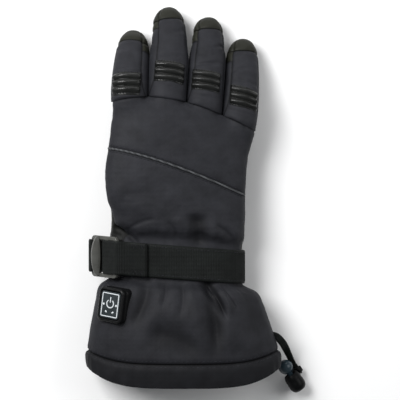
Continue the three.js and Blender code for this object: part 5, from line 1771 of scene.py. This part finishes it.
def lock_pieces():
    """The lock's barrel, its sprung ball and the webbing tab that carries it."""
    plastic = material_named("lock_moulding")
    barrel = lathed("lock_barrel_moulded", barrel_profile(), 72, plastic)
    lug = lug_block("lug", TAB_WIDTH + 2.8 * MM, 4.4 * MM, 4.6 * MM, LUG_REACH - 0.3 * MM, 0.5 * MM)
    slot = lug_block("slot", TAB_WIDTH + 0.8 * MM, TAB_THICK + 0.8 * MM, 12 * MM, LUG_REACH, 0.1 * MM)
    cut(lug, slot, "DIFFERENCE")
    drop(slot)
    whole = joined([barrel, lug], "lock_barrel_body")
    dress(whole, plastic)
    place_piece(whole, "glove", "lock_barrel")

    stem_end = LOCK_MOUTH + 6.5 * MM
    ball = [(0, -LOCK_BALL)]
    for angle in np.radians(np.linspace(4, 154, 40)):
        ball.append((math.sin(angle) * LOCK_BALL, -math.cos(angle) * LOCK_BALL))
    ball += [(LOCK_STEM, LOCK_MOUTH + 0.3 * MM), (LOCK_STEM, stem_end - 0.3 * MM)]
    ball += [(LOCK_STEM - 0.3 * MM, stem_end), (0, stem_end)]
    plunger = lathed("lock_plunger_ball", ball, 64, material_named("plunger_moulding"))
    place_piece(plunger, "plunger", "lock_plunger")
    place_piece(tab_piece(), "glove", "lock_tab")


def tab_line():
    """The points that the webbing tab follows to its lug."""
    axis, _, out = lock_axes()

    def in_slot(along):
        return LOCK_SPOT + out * LUG_REACH + axis * along

    bow = Vector((0.6, 0, -0.6)) * MM
    return [
        TAB_START + Vector((-7.5, 2.5, 1)) * MM,
        TAB_START + Vector((-2, 0.8, 0.6)) * MM,
        TAB_START + Vector((2.6, -4.2, -2.4)) * MM,
        TAB_START.lerp(in_slot(-2 * MM), 0.62) + bow,
        in_slot(1 * MM),
        in_slot(LUG_ALONG - 3 * MM),
        in_slot(LUG_ALONG + 3.4 * MM),
    ]


def tab_piece():
    """The doubled webbing tab."""
    axis, _, out = lock_axes()
    path = smooth_path([tuple(p) for p in tab_line()], 150)
    level = np.array([math.cos(LOCK_TURN), math.sin(LOCK_TURN), 0.1])
    at_lug = np.array(axis.cross(out).normalized())
    if at_lug @ level < 0:
        at_lug = -at_lug
    section = webbing_section(TAB_WIDTH, TAB_THICK, 16)
    forward = np.gradient(path, axis=0)
    forward /= np.linalg.norm(forward, axis=1, keepdims=True)
    groove = 0.25 * MM * np.exp(-((section[:, 0] / (0.4 * MM)) ** 2)) * np.sign(section[:, 1])
    rings = []
    for i, (here, ahead) in enumerate(zip(path, forward)):
        share = float(smoothstep(0.1, 0.75, i / (len(path) - 1)))
        wide = level + (at_lug - level) * share
        wide = wide - ahead * (wide @ ahead)
        wide /= np.linalg.norm(wide)
        up = np.cross(ahead, wide)
        wave = 1 + 0.12 * math.sin(i * 1.3)
        rings.append(here + section[:, :1] * wide + (section[:, 1:] * wave - groove[:, None]) * up)
    return tube("lock_tab_webbing", rings, material_named("strap_webbing"))


# Stitching

def stitch_tree():
    """A node tree that lays short stitches along every edge line of a mesh."""
    if "stitch_rows" in bpy.data.node_groups:
        return bpy.data.node_groups["stitch_rows"]
    tree = bpy.data.node_groups.new("stitch_rows", "GeometryNodeTree")
    for name, kind in (("Geometry", "Geometry"), ("Pitch", "Float"), ("Thread Radius", "Float"),
                       ("Stitch Share", "Float"), ("Material", "Material")):
        tree.interface.new_socket(name, in_out="INPUT", socket_type="NodeSocket" + kind)
    tree.interface.new_socket("Geometry", in_out="OUTPUT", socket_type="NodeSocketGeometry")
    add = tree.nodes.new
    link = tree.links.new
    start, end = add("NodeGroupInput"), add("NodeGroupOutput")
    lines = add("GeometryNodeMeshToCurve")
    spaced = add("GeometryNodeResampleCurve")
    spaced.mode = "LENGTH"
    points = add("GeometryNodeCurveToPoints")
    points.mode = "EVALUATED"
    ball = add("GeometryNodeMeshUVSphere")
    set_inputs(ball, Segments=6, Rings=5, Radius=1)
    length = add("ShaderNodeMath")
    length.operation = "MULTIPLY"
    half = add("ShaderNodeMath")
    half.operation = "MULTIPLY"
    half.inputs[1].default_value = 0.5
    size = add("ShaderNodeCombineXYZ")
    shaped = add("GeometryNodeTransform")
    laid = add("GeometryNodeInstanceOnPoints")
    real = add("GeometryNodeRealizeInstances")
    finish = add("GeometryNodeSetMaterial")
    link(start.outputs["Geometry"], lines.inputs[0])
    link(lines.outputs[0], spaced.inputs["Curve"])
    link(start.outputs["Pitch"], spaced.inputs["Length"])
    link(spaced.outputs[0], points.inputs[0])
    link(points.outputs["Points"], laid.inputs["Points"])
    link(points.outputs["Rotation"], laid.inputs["Rotation"])
    link(start.outputs["Pitch"], length.inputs[0])
    link(start.outputs["Stitch Share"], length.inputs[1])
    link(length.outputs[0], half.inputs[0])
    link(start.outputs["Thread Radius"], size.inputs["X"])
    link(start.outputs["Thread Radius"], size.inputs["Y"])
    link(half.outputs[0], size.inputs["Z"])
    link(ball.outputs["Mesh"], shaped.inputs["Geometry"])
    link(size.outputs[0], shaped.inputs["Scale"])
    link(shaped.outputs[0], laid.inputs["Instance"])
    link(laid.outputs[0], real.inputs[0])
    link(real.outputs[0], finish.inputs["Geometry"])
    link(start.outputs["Material"], finish.inputs["Material"])
    link(finish.outputs[0], end.inputs[0])
    return tree


def stitched(name, lines, sizes, pitch=None, radius=None):
    """Stitches along lines of points, as one plain mesh."""
    verts, edges = [], []
    for line in lines:
        first = len(verts)
        verts += [tuple(p) for p in line]
        edges += [(first + i, first + i + 1) for i in range(len(line) - 1)]
    mesh = bpy.data.meshes.new(name)
    mesh.from_pydata(verts, edges, [])
    obj = placed(name, mesh)
    modifier = obj.modifiers.new("stitches", "NODES")
    modifier.node_group = stitch_tree()
    values = {
        "Pitch": pitch or sizes.stitch_pitch,
        "Thread Radius": radius or sizes.stitch_radius,
        "Stitch Share": 0.72,
        "Material": material_named("sewing_thread"),
    }
    for item in modifier.node_group.interface.items_tree:
        if item.item_type == "SOCKET" and item.in_out == "INPUT" and item.name in values:
            modifier[item.identifier] = values[item.name]
    baked(obj)
    smooth(obj)
    return obj


def seam_stitches(sizes):
    """The rows beside the hem's seam and the diagonal seam."""
    lines = []
    turns = np.linspace(0.02, 0.98, 900)
    for side in (-1, 1):
        along = -(HEM_SHARE + side * 2.1 * MM / CUFF_LENGTH) + 0 * turns
        first = body(turns, along)
        lift = cuff_lift(first, turns, along, sizes) + 0.05 * MM
        lines.append(body(turns, along, 0.0, True, lift))
    plan = piping_plan(120)
    for shift in (-2.3 * MM, 2.3 * MM):
        x, y = plan[2:-2, 0], plan[2:-2, 1] + shift
        path = on_back(x, y, 0.0)
        depth = pinch(np.full(len(x), abs(shift)), sizes.seam_width, sizes.seam_depth)
        path[:, 2] += crumpled(path, sizes.crumple) - depth + 0.1 * MM
        lines.append(path)
    seams = stitched("seam_stitches", lines, sizes)
    place_piece(seams, "glove", None)


def knuckle_stitches(sizes):
    """The rows along the edges of the ribbed patches."""
    half = RIB_COUNT * RIB_PITCH / 2 + RIB_MARGIN * 0.25
    spots = np.linspace(0.25 - PATCH_REACH * 0.9, 0.25 + PATCH_REACH * 0.9, 60)
    lines = []
    for d in DIGITS:
        for edge in (-1, 1):
            lines.append(patch_point(d, np.full(60, edge * half), spots, np.full(60, 0.8 * MM)))
    ribs = stitched("knuckle_stitches", lines, sizes, 2.2 * MM, 0.17 * MM)
    place_piece(ribs, "glove", None)


def strap_stitches(sizes):
    """The bars across the tail's fold, and the rows along the strap."""
    ticks = []
    spread = STRAP_WIDTH / 2 - 2.8 * MM
    for i, x in enumerate(np.arange(TAIL_END - TAIL_HEM + 0.8 * MM, TAIL_END - 1 * MM, 1.1 * MM)):
        spot = over_strap(float(x), STRAP_OVER + STRAP_THICK * 2 + STRAP_GAP * 0.5)
        for middle in (-spread, spread):
            lean = 0.4 * MM * (-1) ** i
            reach = np.linspace(-1, 1, 7)
            across = STRAP_SLOPE * spot[0] + middle + reach * 1.3 * MM
            ticks.append(np.stack([spot[0] + lean * reach, across, np.full(7, spot[1])], -1))
    bars = stitched("tail_stitches", ticks, sizes, 0.5 * MM, 0.17 * MM)
    place_piece(bars, "glove", None)
    lines = []
    turns = np.linspace(0.05, 0.29, 300)
    for side in (-1, 1):
        ring = waist(turns, STRAP_GAP + STRAP_THICK - 0.02 * MM)
        y = STRAP_SLOPE * ring[:, 0] + side * (STRAP_WIDTH / 2 - 2 * MM)
        lines.append(np.stack([ring[:, 0], y, ring[:, 1]], -1))
    strap = stitched("strap_stitches", lines, sizes, 2.6 * MM, 0.2 * MM)
    place_piece(strap, "glove", None)


# The stage

def soft_light(name, place, target, size, power_watts):
    """A large square light that faces a point."""
    lamp = bpy.data.lights.new(name, "AREA")
    lamp.size = size
    lamp.energy = power_watts
    holder = placed(name, lamp)
    holder.location = place
    holder.rotation_euler = (Vector(target) - Vector(place)).to_track_quat("-Z", "Y").to_euler()


def stage():
    """A pale floor, soft studio light and the camera straight above."""
    corners = [(-4, -4, 0), (4, -4, 0), (4, 4, 0), (-4, 4, 0)]
    material, tree, shader = shader_of("pale_floor")
    floor = new_object("studio_floor", corners, [(0, 1, 2, 3)], material)
    mottle = add_node(tree, "ShaderNodeTexNoise", Scale=3.0)
    spread_over(tree, mottle)
    pale = tinted(tree, mottle.outputs["Fac"], (0.9, 0.9, 0.9), 0.99, 1.01)
    tree.links.new(pale, shader.inputs["Base Color"])
    set_inputs(shader, Roughness=0.9)
    floor.location.z = -0.4 * MM
    world = bpy.data.worlds.new("studio_air")
    world.use_nodes = True
    set_inputs(world.node_tree.nodes["Background"], Color=(0.96, 0.98, 1, 1), Strength=0.2)
    bpy.context.scene.world = world
    bpy.context.scene.view_settings.view_transform = "Standard"
    target = (0.01, 0.03, 0.03)
    soft_light("key_light", (-0.65, 0.55, 1.05), target, 0.7, 21)
    soft_light("side_light", (0.95, 0.3, 0.8), target, 0.8, 5)
    soft_light("top_light", (0.1, 1.2, 0.5), target, 0.5, 3)
    camera = bpy.data.cameras.new("photo_camera")
    camera.sensor_width = SENSOR_WIDTH
    camera.lens = SENSOR_WIDTH * CAMERA_DISTANCE / VIEW_WIDTH
    camera.clip_start, camera.clip_end = 0.05, 20
    holder = placed("photo_camera", camera)
    holder.location = VIEW_CENTRE + Vector((0, 0, CAMERA_DISTANCE))
    bpy.context.scene.camera = holder


# Operators, panel and registration

def sizes_of(context):
    """The sizes of the sewn details."""
    return context.scene.glove_sizes


class GLOVE_OT_hand(bpy.types.Operator):
    """Build the padded back and the palm"""

    bl_idname = "glove.hand"
    bl_label = "Back and Palm"

    def execute(self, context):
        hand_panels(sizes_of(context))
        return {"FINISHED"}


class GLOVE_OT_fingers(bpy.types.Operator):
    """Build the finger sleeves, their leather tips and the thumb"""

    bl_idname = "glove.fingers"
    bl_label = "Fingers and Thumb"

    def execute(self, context):
        for d in DIGITS:
            finger_pieces(d, sizes_of(context))
        thumb_piece(sizes_of(context))
        return {"FINISHED"}


class GLOVE_OT_knuckles(bpy.types.Operator):
    """Build the ribbed leather patches over the knuckles"""

    bl_idname = "glove.knuckles"
    bl_label = "Knuckle Ribs"

    def execute(self, context):
        for d in DIGITS:
            knuckle_patch(d)
        return {"FINISHED"}


class GLOVE_OT_piping(bpy.types.Operator):
    """Build the grey piping in the diagonal seam"""

    bl_idname = "glove.piping"
    bl_label = "Piping"

    def execute(self, context):
        piping_piece(sizes_of(context))
        return {"FINISHED"}


class GLOVE_OT_cuff(bpy.types.Operator):
    """Build the flared cuff and its hem band"""

    bl_idname = "glove.cuff"
    bl_label = "Cuff and Hem"

    def execute(self, context):
        cuff_pieces(sizes_of(context))
        return {"FINISHED"}


class GLOVE_OT_strap(bpy.types.Operator):
    """Build the wrist strap, its tail and the buckle's anchor"""

    bl_idname = "glove.strap"
    bl_label = "Strap"

    def execute(self, context):
        strap_pieces(sizes_of(context))
        return {"FINISHED"}


class GLOVE_OT_buckle(bpy.types.Operator):
    """Build the moulded buckle"""

    bl_idname = "glove.buckle"
    bl_label = "Buckle"

    def execute(self, context):
        buckle_piece()
        return {"FINISHED"}


class GLOVE_OT_switch(bpy.types.Operator):
    """Build the switch, its membrane and its marks"""

    bl_idname = "glove.switch"
    bl_label = "Switch"

    def execute(self, context):
        switch_pieces()
        return {"FINISHED"}


class GLOVE_OT_lock(bpy.types.Operator):
    """Build the drawcord lock and its tab"""

    bl_idname = "glove.lock"
    bl_label = "Drawcord Lock"

    def execute(self, context):
        lock_pieces()
        return {"FINISHED"}


class GLOVE_OT_stitches(bpy.types.Operator):
    """Sew the rows of stitches that show"""

    bl_idname = "glove.stitches"
    bl_label = "Stitches"

    def execute(self, context):
        seam_stitches(sizes_of(context))
        knuckle_stitches(sizes_of(context))
        strap_stitches(sizes_of(context))
        return {"FINISHED"}


class GLOVE_OT_stage(bpy.types.Operator):
    """Set up the floor, the lights and the camera"""

    bl_idname = "glove.stage"
    bl_label = "Stage"

    def execute(self, context):
        stage()
        return {"FINISHED"}


STEPS = (
    "hand", "fingers", "knuckles", "piping", "cuff", "strap", "buckle", "switch", "lock", "stitches",
    "stage",
)


class GLOVE_PT_panel(bpy.types.Panel):
    """The glove's sizes, colours and steps"""

    bl_idname = "GLOVE_PT_panel"
    bl_label = "Heated Glove"
    bl_space_type = "VIEW_3D"
    bl_region_type = "UI"
    bl_category = "Glove"

    def draw(self, context):
        for group in (context.scene.glove_sizes, context.scene.glove_colours):
            for name in group.__annotations__:
                self.layout.prop(group, name)
        for step in STEPS:
            self.layout.operator("glove." + step)


CLASSES = (
    GloveSizes, GloveColours, GLOVE_OT_hand, GLOVE_OT_fingers, GLOVE_OT_knuckles, GLOVE_OT_piping,
    GLOVE_OT_cuff, GLOVE_OT_strap, GLOVE_OT_buckle, GLOVE_OT_switch, GLOVE_OT_lock,
    GLOVE_OT_stitches, GLOVE_OT_stage, GLOVE_PT_panel,
)


def register():
    """Adds the classes and the two property groups."""
    for cls in CLASSES:
        bpy.utils.register_class(cls)
    bpy.types.Scene.glove_sizes = bpy.props.PointerProperty(type=GloveSizes)
    bpy.types.Scene.glove_colours = bpy.props.PointerProperty(type=GloveColours)


def unregister():
    """Takes them away again."""
    del bpy.types.Scene.glove_sizes
    del bpy.types.Scene.glove_colours
    for cls in reversed(CLASSES):
        bpy.utils.unregister_class(cls)


def main():
    """Builds the whole glove."""
    register()
    for step in STEPS:
        getattr(bpy.ops.glove, step)()


if __name__ == "__main__":
    main()
